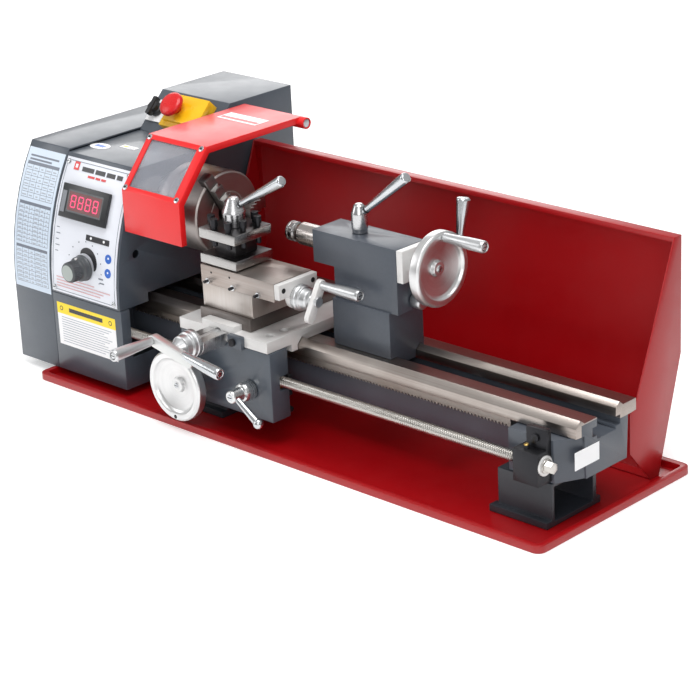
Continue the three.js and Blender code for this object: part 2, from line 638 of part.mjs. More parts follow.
function chuck() {
  const at = [0, Y(0), S(0)];
  const profile = [
    [11, CHUCK_BACK], [CHUCK_RADIUS - 1.5, CHUCK_BACK], [CHUCK_RADIUS, CHUCK_BACK + 1.5],
    [CHUCK_RADIUS, CHUCK_FACE - 2], [CHUCK_RADIUS - 2, CHUCK_FACE], [11, CHUCK_FACE], [11, CHUCK_BACK],
  ];
  const slots = JAW_ANGLES.map((a) =>
    aboutSpindle(
      block(CHUCK_FACE - SLOT_DEPTH, CHUCK_FACE + 1, -JAW_WIDTH / 2 - RUN, JAW_WIDTH / 2 + RUN,
        5, CHUCK_RADIUS + 5),
      a,
    ),
  );
  const keys = JAW_ANGLES.map((a) =>
    aboutSpindle(bar("z", [CHUCK_BACK + 34, 0, 0], 5.5, CHUCK_RADIUS - 12, CHUCK_RADIUS + 5, 12), a + 60),
  );
  piece("chuck_body", cut(turned("x", at, profile, 36), ...slots, ...keys), STEEL);
  JAW_ANGLES.forEach((a, i) => {
    const x = CHUCK_FACE;
    const steps = [
      [12, x - SLOT_DEPTH + RUN], [58, x - SLOT_DEPTH + RUN], [58, x + 4], [44, x + 4], [44, x + 11],
      [31, x + 11], [31, x + 18], [20, x + 18], [20, x + 25], [12, x + 25],
    ];
    piece(`jaw_${i + 1}`, aboutSpindle(prism("y", steps, -JAW_WIDTH / 2, JAW_WIDTH / 2), a), STEEL);
  });
}

// ---------------------------------------------------------------- chuck guard
function chuckGuard() {
  const front = -82;
  const knee = S(34); // foot of the window
  const top = HINGE_Z + 7;
  const corner = -34;
  const s = SHEET;
  const low = S(-17);
  const skin = [
    [Y(front), low], [Y(front), knee], [Y(corner), top], [Y(HINGE_Y), top], [Y(HINGE_Y), top - s],
    [Y(corner + 0.6), top - s], [Y(front + s), knee - 0.6], [Y(front + s), low],
  ];
  const flange = [
    [Y(front), low], [Y(front), knee], [Y(corner), top], [Y(HINGE_Y), top], [Y(HINGE_Y), top - 8],
    [Y(corner + 3.5), top - 8], [Y(front + 8), knee - 4], [Y(front + 8), low],
  ];
  const dy = corner - front;
  const dz = top - knee;
  const n = Math.hypot(dy, dz);
  const at = (share, depth) => [
    Y(front + dy * share + (dz / n) * depth), knee + dz * share - (dy / n) * depth,
  ];
  const reach = 5;
  const outline = [at(0.08, -reach), at(0.08, s + reach), at(0.92, s + reach), at(0.92, -reach)];
  const window = prism("x", outline, GUARD_LEFT + 8, GUARD_RIGHT - 12);
  const tube = bar("x", [0, Y(HINGE_Y), HINGE_Z], 7, GUARD_LEFT, GUARD_RIGHT + 9);
  const rodHole = bar("x", [0, Y(HINGE_Y), HINGE_Z], 5 + RUN, GUARD_LEFT - 5, GUARD_RIGHT + 20, 16);
  const body = join(
    prism("x", skin, GUARD_LEFT, GUARD_RIGHT),
    prism("x", flange, GUARD_RIGHT - s, GUARD_RIGHT),
    tube,
  );
  piece("chuck_guard", cut(body, window, rodHole), RED);
  const pane = [at(0.03, s + GAP), at(0.97, s + GAP), at(0.97, s + GAP + 2), at(0.03, s + GAP + 2)];
  piece("guard_window", prism("x", pane, GUARD_LEFT + 4, GUARD_RIGHT - 8), CLEAR);
  const rod = bar("x", [0, Y(HINGE_Y), HINGE_Z], 5, HEAD_RIGHT - 3 + GAP, GUARD_RIGHT + 8.5, 16);
  piece("guard_hinge_rod", rod, STEEL);
}

// ---------------------------------------------------------------- carriage

function saddle() {
  const half = BED_WIDTH / 2;
  const g = GAP + 0.1;
  const profile = [
    [-98, 14], [-98, 0.8], [-60, 0.8], [-60, -8], [-half - g, -8], [-half - g, -2.4 + g],
    [-half + 7, 5 + 2 * g], [-half + 14 + g, g], [16 - g, g], [22, 5 + 2 * g], [28 + g, g],
    [half + g, g], [half + g, -20], [62, -20], [62, 14],
  ].map(([y, z]) => [Y(y), Z(z)]);
  const neck = block(SADDLE_LEFT + 38, SADDLE_LEFT + 90, Y(-98), Y(62), Z(13), Z(SLIDE_TOP - 8));
  const body = join(prism("x", profile, SADDLE_LEFT, SADDLE_RIGHT), neck);
  const screwWay = bar("y", [CROSS_X, 0, Z(CROSS_Z)], 6, Y(-100), Y(64), 12);
  const holes = [-78, -56].map((y) => bar("z", [SADDLE_RIGHT - 15, Y(y), 0], 5, Z(-1), Z(15), 16));
  piece("saddle", cut(body, screwWay, ...holes), LIGHT);
}

function apron() {
  const x0 = SADDLE_LEFT;
  const x1 = SADDLE_RIGHT + 2;
  const wall = 6;
  const body = block(x0, x1, Y(APRON_FRONT), Y(-69), Z(-82), Z(0.4));
  const inside = block(x0 + wall, x1 - wall, Y(APRON_FRONT + wall), Y(-60), Z(-76), Z(-6));
  const screwWay = block(x0 - 1, x1 + 1, Y(SCREW_Y - 8), Y(-60), Z(SCREW_Z - 8), Z(SCREW_Z + 8));
  const shaftHole = (x, z, r) => bar("y", [x, 0, Z(z)], r + RUN, Y(APRON_FRONT - 5), Y(APRON_FRONT + 9), 16);
  const holes = [shaftHole(WHEEL_X, WHEEL_Z, 5), shaftHole(NUT_X, NUT_Z, 5)];
  piece("apron", cut(body, inside, screwWay, ...holes), GREY);
}

// Dished handwheel about the origin of its axis: rim, web and hub in one profile.
function wheelProfile(face, sign) {
  const at = (d) => face + sign * d;
  return [
    [0, at(5)], [8, at(5)], [9, at(10)], [WHEEL_RADIUS - 9, at(3)], [WHEEL_RADIUS - 8, at(0)],
    [WHEEL_RADIUS - 2, at(0)], [WHEEL_RADIUS, at(2)], [WHEEL_RADIUS, at(12)], [WHEEL_RADIUS - 3, at(14)],
    [WHEEL_RADIUS - 8, at(13)], [14, at(17)], [12, at(24)], [0, at(24)],
  ];
}

// A turned handle: narrow root, fuller grip, rounded end. Its profile starts at the root.
function handleProfile(root, sign) {
  const at = (d) => root + sign * d;
  const l = HANDLE_LENGTH;
  return [
    [0, at(0)], [4.8, at(0)], [5.4, at(l * 0.25)], [6.6, at(l * 0.6)], [7, at(l - 3)], [6, at(l)], [0, at(l)],
  ];
}

function carriageControls() {
  const axis = [WHEEL_X, 0, Z(WHEEL_Z)];
  const r = WHEEL_RADIUS - 5;
  const wheel = join(
    turned("y", axis, wheelProfile(Y(WHEEL_FACE), 1), 28),
    bar("y", axis, 5, Y(WHEEL_FACE + 20), Y(APRON_FRONT + 22), 16),
  );
  const hole = bar("y", [WHEEL_X, 0, Z(WHEEL_Z - r)], 2.2, Y(WHEEL_FACE - 3), Y(WHEEL_FACE + 20), 12);
  piece("carriage_handwheel", cut(wheel, hole), SATIN);

  const hub = [NUT_X, 0, Z(NUT_Z)];
  const start = v3(NUT_X, Y(APRON_FRONT - 26), Z(NUT_Z));
  const tip = v3(NUT_X + 37, Y(APRON_FRONT - 27), Z(NUT_Z - 24));
  const ball = solid(new THREE.SphereGeometry(6, 12, 8).translate(tip.x, tip.y, tip.z));
  piece("half_nut_lever", join(
    bar("y", hub, 11, Y(APRON_FRONT - 16), Y(APRON_FRONT) - GAP),
    bar("y", hub, 7.5, Y(APRON_FRONT - 33), Y(APRON_FRONT - 12)),
    bar("y", hub, 5, Y(APRON_FRONT - 2), Y(APRON_FRONT + 12), 16),
    limb(start, tip, 3.6, 4.6, 12),
    ball,
  ), SATIN);
  // The two half nuts stand open above and below the leadscrew.
  const open = 5;
  for (const [name, up] of [["half_nut_upper", 1], ["half_nut_lower", -1]]) {
    const middle = Z(SCREW_Z) + up * open;
    const body = block(NUT_X - 20, NUT_X + 20, Y(SCREW_Y - 8), Y(SCREW_Y + 8),
      Math.min(middle + up * GAP, middle + up * 14),
      Math.max(middle + up * GAP, middle + up * 14));
    const bore = bar("x", [0, Y(SCREW_Y), middle], LEADSCREW_RADIUS + RUN, NUT_X - 30, NUT_X + 30, 16);
    piece(name, cut(body, bore), BRASS);
  }
}

function crossSlide() {
  const half = SLIDE_WIDTH / 2;
  const body = block(CROSS_X - half, CROSS_X + half, Y(-86), Y(66), Z(14 + GAP), Z(SLIDE_TOP));
  const groove = block(SADDLE_LEFT + 38 - GAP, SADDLE_LEFT + 90 + GAP, Y(-100), Y(70),
    Z(0), Z(SLIDE_TOP - 8 + GAP));
  piece("cross_slide", cut(body, groove), STEEL);
}

// Bearing barrel of the cross-feed screw on the saddle's front, flat on top.
function crossFeed() {
  const axis = [CROSS_X, 0, Z(CROSS_Z)];
  const barrel = cut(
    bar("y", axis, 16, Y(BARREL_FRONT), Y(-98) - GAP, 28),
    block(CROSS_X - 20, CROSS_X + 20, Y(-140), Y(-90), Z(13), Z(CROSS_Z + 20)),
    bar("y", axis, 5 + RUN, Y(BARREL_FRONT - 2), Y(-90), 16),
  );
  piece("cross_feed_barrel", barrel, SATIN);
  const front = BARREL_FRONT - GAP;
  const dial = turned("y", axis, [
    [0, Y(front - 34)], [6, Y(front - 34)], [6, Y(front - 27)], [13, Y(front - 20)], [13, Y(front - 12)],
    [15, Y(front - 11)], [15, Y(front - 6)], [16, Y(front - 5)], [16, Y(front)], [5, Y(front)],
    [5, Y(-60)], [0, Y(-60)],
  ], 28);
  const arm = crankArm(71, 13, 10);
  arm.rotateX(Math.PI / 2).rotateY((13 * Math.PI) / 180).translate(CROSS_X, Y(front - 32), Z(CROSS_Z));
  const t = (13 * Math.PI) / 180;
  // A second handle is fixed in the arm's other end and lies along the bed.
  const fixed = (x, z) => v3(CROSS_X + x, Y(front - 32), Z(CROSS_Z + z));
  piece("cross_feed_crank", join(dial, solid(arm), limb(fixed(18, -1), fixed(76, -10), 5, 7)), SATIN);
  const grip = 29;
  const root = [CROSS_X - grip * Math.cos(t), 0, Z(CROSS_Z) + grip * Math.sin(t)];
  piece("cross_feed_handle", turned("y", root, handleProfile(Y(front - 37) - GAP, -1), 14), SATIN);
}

// A flat crank arm with round ends, centred, its length along X and its thickness along Z.
function crankArm(length, width, thick) {
  const shape = new THREE.Shape();
  const half = length / 2 - width / 2;
  const ends = [
    ...arc(half, 0, width / 2, -Math.PI / 2, Math.PI / 2, 5),
    ...arc(-half, 0, width / 2, Math.PI / 2, 1.5 * Math.PI, 5),
  ];
  shape.setFromPoints(ends.map(([a, b]) => new THREE.Vector2(a, b)));
  const arm = new THREE.ExtrudeGeometry(shape, { depth: thick, bevelEnabled: false });
  return arm.translate(0, 0, -thick / 2);
}

function compound() {
  const y0 = POST_Y - 30;
  const y1 = POST_Y + 30;
  const base = join(
    block(COMPOUND_LEFT, COMPOUND_LEFT + 80, Y(y0 + 1), Y(y1 - 1), Z(SLIDE_TOP + GAP), Z(COMPOUND_BOTTOM)),
    block(COMPOUND_LEFT + 20, COMPOUND_LEFT + 60, Y(POST_Y - 14), Y(POST_Y + 14),
      Z(COMPOUND_BOTTOM - 1), Z(COMPOUND_BOTTOM + 7)),
  );
  piece("swivel_base", base, STEEL);
  const slot = block(COMPOUND_LEFT - 1, COMPOUND_RIGHT + 1, Y(POST_Y - 14) - GAP, Y(POST_Y + 14) + GAP,
    Z(COMPOUND_BOTTOM - 2), Z(COMPOUND_BOTTOM + 7 + GAP));
  const slide = join(
    cut(
      block(COMPOUND_LEFT, COMPOUND_RIGHT, Y(y0), Y(y1), Z(COMPOUND_BOTTOM + GAP), Z(POST_BOTTOM - 1.5)),
      slot,
    ),
    bar("z", [POST_X, Y(POST_Y), 0], 12, Z(POST_BOTTOM - 3), Z(POST_BOTTOM - GAP)),
    bar("z", [POST_X, Y(POST_Y), 0], 6, Z(POST_BOTTOM - 3), S(24)),
  );
  piece("compound_slide", slide, STEEL);
  const x = COMPOUND_RIGHT + GAP;
  const axis = [0, Y(POST_Y), Z(COMPOUND_Z)];
  const plate = join(
    block(x, x + 8, Y(y0), Y(y1), Z(COMPOUND_BOTTOM + 4), Z(POST_BOTTOM - 2)),
    bar("x", axis, 14, x, x + 8),
  );
  piece("compound_end_plate", cut(plate, bar("x", axis, 4 + RUN, x - 5, x + 12, 16)), LIGHT);
  const f = x + 8 + GAP;
  const dial = turned("x", axis, [
    [0, x - 27], [4, x - 27], [4, f], [15, f], [15, f + 5], [14, f + 6], [14, f + 10], [12, f + 11],
    [11, f + 18], [6, f + 20], [6, f + 31], [0, f + 31],
  ], 28);
  const arm = crankArm(51, 12, 7);
  arm.rotateX(Math.PI / 2).rotateZ(Math.PI / 2).rotateX(((90 - CRANK_LEAN) * Math.PI) / 180);
  arm.translate(f + 24.5, Y(POST_Y), Z(COMPOUND_Z));
  piece("compound_crank", join(dial, solid(arm)), SATIN);
  const t = (CRANK_LEAN * Math.PI) / 180;
  const grip = 19;
  const root = [0, Y(POST_Y) + grip * Math.sin(t), Z(COMPOUND_Z) + grip * Math.cos(t)];
  piece("compound_handle", turned("x", root, handleProfile(f + 28 + GAP, 1), 14), SATIN);
}

function toolPost() {
  const h = TOOL_POST / 2;
  const low = Z(POST_BOTTOM);
  const high = low + 11.5 + TOOL_SLOT + 12;
  const core = 17;
  const body = join(
    block(POST_X - h, POST_X + h, Y(POST_Y - h), Y(POST_Y + h), low, low + 11.5),
    block(POST_X - core, POST_X + core, Y(POST_Y - core), Y(POST_Y + core), low + 5, high - 5),
    block(POST_X - h, POST_X + h, Y(POST_Y - h), Y(POST_Y + h), high - 12, high),
  );
  const screws = [];
  for (const side of [0, 1, 2, 3]) {
    for (const place of [-9, 14]) {
      const t = (side * Math.PI) / 2;
      const x = POST_X + Math.cos(t) * (h - 6) - Math.sin(t) * place;
      const y = Y(POST_Y) + Math.sin(t) * (h - 6) + Math.cos(t) * place;
      screws.push(bar("z", [x, y, 0], 3.2, high - 14 - TOOL_SLOT / 3, high + 6, 8));
      screws.push(bar("z", [x, y, 0], 4.5, high + 4, high + 12, 8));
    }
  }
  const bore = bar("z", [POST_X, Y(POST_Y), 0], 6 + RUN, low - 1, high + 1, 16);
  piece("tool_post", cut(join(body, ...screws), bore), BLACK);
  const foot = high + GAP;
  const hub = turned("z", [POST_X, Y(POST_Y), 0], [
    [0, S(24) + GAP], [6 + RUN, S(24) + GAP], [6 + RUN, foot], [12.5, foot], [13.5, foot + 16],
    [7, foot + 31], [4, foot + 34], [0, foot + 34],
  ]);
  const a = v3(POST_X + 3, Y(POST_Y), foot + 22);
  const b = v3(POST_X + 78, Y(POST_Y + 3), foot + 65);
  piece("tool_post_lever", join(hub, limb(a, b, 3.5, 6.5)), SATIN);
}

// ---------------------------------------------------------------- leadscrew bracket
function leadscrewBracket() {
  const x0 = BED_RIGHT - 54;
  const x1 = BED_RIGHT - 21;
  const body = join(
    block(x0, x1, Y(-86), Y(PAD_FRONT) - GAP, Z(-60), Z(-24)),
    block(x0 + 7, x1, Y(-72), Y(PAD_FRONT) - GAP, Z(-25), Z(-2)),
    bar("z", [x0 + 12, Y(-78), 0], 3.2, Z(-25), Z(-20), 12),
  );
  const way = bar("x", [0, Y(SCREW_Y), Z(SCREW_Z)], SCREW_END + RUN, x0 - 2, x1 + 2, 16);
  const relief = bar("x", [0, Y(SCREW_Y), Z(SCREW_Z)], 10, x1 - 0.5, x1 + 2, 16);
  piece("leadscrew_bracket", cut(body, way, relief), BLACK);
}

// ---------------------------------------------------------------- tailstock
function tailstock() {
  const base = Z(56);
  const bodyLeft = TAIL_BASE_LEFT + 2;
  const half = TAIL_HALF;
  const g = GAP + 0.1;
  const profile = [
    [-26, g], [-15, g], [-14.5, -9], [14.5, -9], [15, g], [16 - g, g], [22, 5 + 2 * g], [28 + g, g],
    [28 + g, 54], [-26, 54],
  ].map(([y, z]) => [Y(y), Z(z)]);
  const foot = prism("x", profile, TAIL_BASE_LEFT, TAIL_RIGHT - 11);
  const column = block(bodyLeft, TAIL_RIGHT - GAP, Y(-half), Y(half), base - 3, S(-18));
  const head = block(TAIL_NOSE, TAIL_RIGHT - GAP, Y(-half), Y(half), S(-19), S(TAIL_TOP));
  const bore = bar("x", [0, Y(0), S(0)], QUILL_RADIUS + RUN, TAIL_NOSE - 1, TAIL_RIGHT + 1, 28);
  const lockHole = bar("z", [LOCK_X, Y(0), 0], 5 + RUN, S(QUILL_RADIUS - 3), S(TAIL_TOP + 1), 16);
  const pivot = bar("x", [0, Y(CLAMP_Y), Z(CLAMP_Z)], 6 + RUN, TAIL_RIGHT - 30, TAIL_RIGHT + 1, 16);
  piece("tailstock", cut(join(foot, column, head), bore, lockHole, pivot), GREY);
  const cap = cut(
    block(TAIL_RIGHT, TAIL_RIGHT + TAIL_PLATE, Y(-half), Y(half), S(-18), S(TAIL_TOP)),
    bar("x", [0, Y(0), S(0)], 6 + RUN, TAIL_RIGHT - 1, TAIL_RIGHT + TAIL_PLATE + 2, 16),
  );
  piece("tailstock_end_plate", cap, LIGHT);
}

function quillSet() {
  const at = [0, Y(0), S(0)];
  const nose = TAIL_NOSE - NOSE_OUT;
  const quill = turned("x", at, [
    [8, nose], [11, nose], [QUILL_RADIUS, nose + 5],
    [QUILL_RADIUS, nose + QUILL_LENGTH], [8, nose + QUILL_LENGTH], [8, nose],
  ], 28);
  piece("quill", quill, STEEL);
  const tip = nose - 23;
  const centre = turned("x", at, [
    [0, tip], [3.5, tip + 6], [9, tip + 7], [11.5, tip + 9], [11.5, nose - 4], [9, nose - 2], [7.6, nose - 2],
    [7.2, nose + 38], [0, nose + 38],
  ]);
  piece("live_centre", centre, BLACK);
  const wheel = join(
    turned("x", at, wheelProfile(TAIL_WHEEL, -1), 28),
    bar("x", at, 6, TAIL_RIGHT - 20, TAIL_WHEEL - 16, 16),
    bar("x", at, 11, TAIL_RIGHT + TAIL_PLATE + GAP, TAIL_WHEEL - 20, 20),
  );
  piece("tailstock_handwheel", wheel, SATIN);
  const root = [0, Y(3), S(WHEEL_RADIUS - 6)];
  piece("tailstock_handle", turned("x", root, handleProfile(TAIL_WHEEL + GAP, 1), 14), SATIN);
}

function tailstockLevers() {
  const top = S(TAIL_TOP) + GAP;
  const hub = turned("z", [LOCK_X, Y(0), 0], [
    [0, S(QUILL_RADIUS) + 1], [5, S(QUILL_RADIUS) + 1], [5, top], [8.5, top], [8.5, top + 4], [9.2, top + 4],
    [9.2, top + 22], [6, top + 31], [3, top + 33], [0, top + 33],
  ]);
  const a = v3(LOCK_X + 3, Y(0), top + 22);
  const b = v3(LOCK_X + 73, Y(0), top + 76);
  piece("quill_lock_lever", join(hub, limb(a, b, 3.5, 6.5)), SATIN);
  const x = TAIL_RIGHT + 8;
  const pivot = [0, Y(CLAMP_Y), Z(CLAMP_Z)];
  const elbow = v3(x, Y(72), Z(120));
  const end = v3(x, Y(80), Z(162));
  const ball = solid(new THREE.SphereGeometry(5, 10, 6).translate(elbow.x, elbow.y, elbow.z));
  piece("tailstock_clamp_lever", join(
    bar("x", pivot, 6, TAIL_RIGHT - 28, x + 2, 16),
    bar("x", pivot, 9, TAIL_RIGHT + GAP, x + 6, 20),
    limb(v3(x, Y(CLAMP_Y), Z(CLAMP_Z)), elbow, 5, 4.5, 12),
    ball,
    limb(elbow, end, 5, 8),
  ), SATIN);
}

// ---------------------------------------------------------------- assembly
chipTray();
splashGuard();
bed();
foot("left_foot", HEAD_RIGHT + 30, HEAD_RIGHT + 140);
foot("right_foot", BED_RIGHT - 92, BED_RIGHT - 20);
feedRack();
headstockCasting();
bearing("rear_bearing", HEAD_LEFT + 8 + GAP);
bearing("front_bearing", HEAD_RIGHT - WALL - GAP - 17);
headstockCover();
headstockBase();
gearCover();
rearBox();
controlPanel();
speedKnob();
speedDisplay();
switches();
motor();
motorPulley();
driveBelt();
spindle(changeGears());
chuck();
chuckGuard();
saddle();
apron();
carriageControls();
crossSlide();
crossFeed();
compound();
toolPost();
leadscrewBracket();
tailstock();
quillSet();
tailstockLevers();

export default group;
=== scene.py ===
# %% [markdown]
# # A bench metal lathe
# The lathe's working solids come ready made, each at its real size and place. This lesson dresses them:
# castings get rounded edges and paint, round pieces are turned again with fine profiles, and the labels,
# screws, threads and graduations are added.

import json
import math

import bmesh
import bpy
import numpy as np
from mathutils import Matrix, Vector

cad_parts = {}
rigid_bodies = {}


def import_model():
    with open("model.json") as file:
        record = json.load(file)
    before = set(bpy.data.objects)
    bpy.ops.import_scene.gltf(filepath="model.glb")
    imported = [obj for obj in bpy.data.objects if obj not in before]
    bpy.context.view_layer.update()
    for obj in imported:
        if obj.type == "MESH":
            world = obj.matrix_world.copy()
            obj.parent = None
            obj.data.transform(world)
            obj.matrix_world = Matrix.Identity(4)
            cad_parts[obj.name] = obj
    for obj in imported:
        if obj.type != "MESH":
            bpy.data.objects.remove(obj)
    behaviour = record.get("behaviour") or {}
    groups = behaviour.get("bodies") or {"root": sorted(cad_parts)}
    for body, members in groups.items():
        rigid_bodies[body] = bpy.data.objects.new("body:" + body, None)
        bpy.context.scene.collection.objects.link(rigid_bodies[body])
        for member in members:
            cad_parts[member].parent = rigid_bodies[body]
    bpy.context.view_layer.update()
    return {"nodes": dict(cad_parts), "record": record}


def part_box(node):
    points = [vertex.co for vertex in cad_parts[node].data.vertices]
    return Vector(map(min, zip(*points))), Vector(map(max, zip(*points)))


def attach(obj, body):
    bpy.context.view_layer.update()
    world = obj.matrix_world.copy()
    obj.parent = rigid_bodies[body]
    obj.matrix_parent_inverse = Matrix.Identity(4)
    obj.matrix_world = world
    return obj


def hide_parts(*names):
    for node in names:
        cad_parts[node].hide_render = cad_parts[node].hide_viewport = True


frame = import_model()
body_of = {n: b for b, ns in frame["record"]["behaviour"]["bodies"].items() for n in ns}

# %% [markdown]
# ## Measures
# Every place below is worked out from the boxes of the solids, in metres. A few stations are used again
# and again: the flat ways, the spindle line, and the headstock's front, which leans back on an arc.

# %% Stations
MM = 0.001


def low(node):
    """The lowest corner of a solid's box as an array."""
    return np.array(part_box(node)[0])


def high(node):
    """The highest corner of a solid's box as an array."""
    return np.array(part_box(node)[1])


def middle(node):
    """The centre of a solid's box: half the sum of its corners."""
    return (low(node) + high(node)) / 2


WAY = high("bed")[2] - 5 * MM
SPINDLE = np.array([0.0, middle("quill")[1], middle("quill")[2]])
HEAD_FRONT = low("headstock_base_cover")[1]
HEAD_LEFT, HEAD_RIGHT = low("headstock_cover")[0], high("headstock_cover")[0]
HEAD_TOP = high("headstock_cover")[2]
ARC_RADIUS = 309 * MM
print("ways at", round(WAY, 4), "spindle at", SPINDLE.round(4))


def front_at(z):
    """The headstock's front at height z: upright to the ways, then a circle of ARC_RADIUS tangent to it."""
    rise = np.maximum(0, np.asarray(z, float) - WAY)
    return HEAD_FRONT + ARC_RADIUS - np.sqrt(ARC_RADIUS**2 - rise**2)


# %% [markdown]
# ## Shader arithmetic
# A finish is easier to read as a sum than as a tree of nodes, so a socket is wrapped in a small class
# that adds its Math nodes by itself. Any other node comes from one method of the finish.


# %% A socket that does arithmetic
class Wire:
    """A shader output. Numbers combine with it as in ordinary arithmetic."""

    def __init__(self, finish, socket):
        self.finish, self.socket = finish, socket

    def maths(self, operation, *others):
        inputs = {i: v for i, v in enumerate((self, *others))}
        return self.finish.node("ShaderNodeMath", {"operation": operation}, inputs)

    def __add__(self, other):
        return self.maths("ADD", other)

    __radd__ = __add__

    def __mul__(self, other):
        return self.maths("MULTIPLY", other)

    __rmul__ = __mul__

    def __sub__(self, other):
        return self.maths("SUBTRACT", other)

    def __rsub__(self, other):
        return (self * -1) + other

    def __truediv__(self, other):
        return self.maths("DIVIDE", other)

    def clip(self):
        return self.maths("MAXIMUM", 0.0).maths("MINIMUM", 1.0)

    def step(self, edge, width):
        """0 below edge, 1 above it, rising over width."""
        return ((self - (edge - width / 2)) / width).clip()


class Finish:
    """One material: a Principled shader whose sockets are set from numbers or wires."""

    def __init__(self, name, **constants):
        self.material = bpy.data.materials.new(name)
        self.material.use_nodes = True
        self.tree = self.material.node_tree
        self.shader = self.tree.nodes["Principled BSDF"]
        self.set(**constants)

    def set(self, **values):
        for key, value in values.items():
            self.feed(self.shader.inputs[key.replace("_", " ").title().replace("Ior", "IOR")], value)

    def feed(self, socket, value):
        if isinstance(value, Wire):
            self.tree.links.new(value.socket, socket)
        elif isinstance(value, (tuple, list)) and len(value) == 3 and socket.type == "RGBA":
            socket.default_value = (*value, 1.0)
        else:
            socket.default_value = value

    def node(self, kind, settings=None, inputs=None, out=0):
        made = self.tree.nodes.new(kind)
        for key, value in (settings or {}).items():
            if key == "stops":
                ramp = made.color_ramp
                for i, (place, colour) in enumerate(value):
                    stop = ramp.elements[i] if i < 2 else ramp.elements.new(place)
                    stop.position, stop.color = place, (*colour, 1.0)
            else:
                setattr(made, key, value)
        for key, value in (inputs or {}).items():
            self.feed(made.inputs[key], value)
        return Wire(self, made.outputs[out])

    def place(self):
        """The point's place in the row frame, in metres."""
        return self.node("ShaderNodeTexCoord", out="Object")

    def split(self, vector):
        return [self.node("ShaderNodeSeparateXYZ", None, {0: vector}, out=i) for i in range(3)]

    def join(self, x, y, z):
        return self.node("ShaderNodeCombineXYZ", None, {0: x, 1: y, 2: z})

    def noise(self, scale, detail=3.0, vector=None, rough=0.5):
        settings = {"noise_dimensions": "3D"}
        inputs = {"Vector": vector or self.place(), "Scale": scale, "Detail": detail, "Roughness": rough}
        return self.node("ShaderNodeTexNoise", settings, inputs)

    def mix(self, factor, a, b):
        """Colour a where factor is 0 and b where it is 1."""
        return self.node("ShaderNodeMix", {"data_type": "RGBA"}, {0: factor, 6: a, 7: b}, out=2)

    def bump(self, height, strength, distance=0.2 * MM, normal=None):
        inputs = {"Height": height, "Strength": strength, "Distance": distance}
        if normal:
            inputs["Normal"] = normal
        self.set(normal=self.node("ShaderNodeBump", None, inputs))


# %% [markdown]
# ## Finishes
# Paint on sheet metal is smooth with a faint orange peel; on a casting it follows the sand of the mould.
# Ground steel has fine scratches along the bed, and turned metal has rings round its axis. Each finish
# varies its colour and gloss a little from place to place, as handled metal does.


# %% Paint
def shade(colour, amount):
    """The colour made darker or lighter by a factor."""
    return tuple(min(1.0, c * amount) for c in colour)


def paint(name, colour, rough=0.3, peel=0.12, grain=900, coat=0.3, variation=0.18):
    f = Finish(name, coat_weight=coat, coat_roughness=0.12)
    cloud = f.noise(9, 4)
    speck = f.noise(260, 2)
    tone = (cloud * 0.7 + speck * 0.3).step(0.5, 0.5)
    f.set(base_color=f.mix(tone, shade(colour, 1 - variation), shade(colour, 1 + variation)))
    f.set(roughness=rough + (f.noise(40, 3) - 0.5) * 0.18)
    f.bump(f.noise(grain, 2), peel)
    return f.material


RED_PAINT = paint("red gloss paint", (0.34, 0.0015, 0.004), 0.34, 0.04, 500, 0.08, 0.05)
GUARD_PAINT = paint("guard red paint", (0.74, 0.012, 0.014), 0.34, 0.05, 600, 0.10, 0.04)
GREY_PAINT = paint("slate grey paint", (0.062, 0.075, 0.094), 0.36, 0.10, 700, 0.25, 0.12)
CAST_PAINT = paint("slate grey on casting", (0.060, 0.070, 0.088), 0.42, 0.35, 420, 0.15, 0.16)
BLACK_PAINT = paint("black satin paint", (0.012, 0.012, 0.014), 0.38, 0.15, 600, 0.1, 0.3)
FOOT_PAINT = paint("dark foot paint", (0.020, 0.023, 0.030), 0.42, 0.3, 400, 0.1, 0.25)


# %% Metals
def ground_steel(name, colour, rough, along="x", warm=0.25):
    """Scratches along one axis: noise squeezed to run long that way and fine across."""
    f = Finish(name, metallic=1.0)
    x, y, z = f.split(f.place())
    long, fine = 6.0, 900.0
    scales = {"x": (long, fine, fine), "y": (fine, long, fine), "z": (fine, fine, long)}[along]
    lines = f.noise(1.0, 4, f.join(x * scales[0], y * scales[1], z * scales[2]), 0.6)
    cloud = f.noise(14, 4)
    stain = (cloud * 0.65 + lines * 0.35).step(0.52, 0.35)
    brown = (colour[0] * 0.80, colour[1] * 0.70, colour[2] * 0.62)
    f.set(base_color=f.mix(stain * warm * 3, colour, brown))
    f.set(roughness=rough + (lines - 0.5) * 0.30 + (cloud - 0.5) * 0.12)
    f.bump(lines, 0.12, 0.05 * MM)
    return f.material


def turned_metal(name, colour, rough, axis, centre=(0, 0, 0), ring=1600.0, variation=0.12):
    """Tool marks as rings: noise read along the axis and along the radius only."""
    f = Finish(name, metallic=1.0)
    c = dict(zip("xyz", f.split(f.place())))
    across = [k for k in "xyz" if k != axis]
    offsets = [c[k] - centre["xyz".index(k)] for k in across]
    radius = (offsets[0] * offsets[0] + offsets[1] * offsets[1]).maths("SQRT")
    rings = f.noise(1.0, 2, f.join(c[axis] * ring, radius * ring, 0.0))
    cloud = f.noise(30, 3)
    tone = (rings * 0.4 + cloud * 0.6).step(0.5, 0.5)
    f.set(base_color=f.mix(tone, shade(colour, 1 - variation), shade(colour, 1 + variation)))
    f.set(roughness=rough + (rings - 0.5) * 0.16 + (cloud - 0.5) * 0.10)
    f.bump(rings, 0.10, 0.04 * MM)
    return f.material


def cast_metal(name, colour, rough, grain=700, metallic=0.85):
    f = Finish(name, metallic=metallic)
    cloud = f.noise(20, 4)
    f.set(base_color=f.mix(cloud.step(0.5, 0.5), shade(colour, 0.85), shade(colour, 1.1)))
    f.set(roughness=rough + (f.noise(80, 3) - 0.5) * 0.2)
    f.bump(f.noise(grain, 3), 0.25)
    return f.material


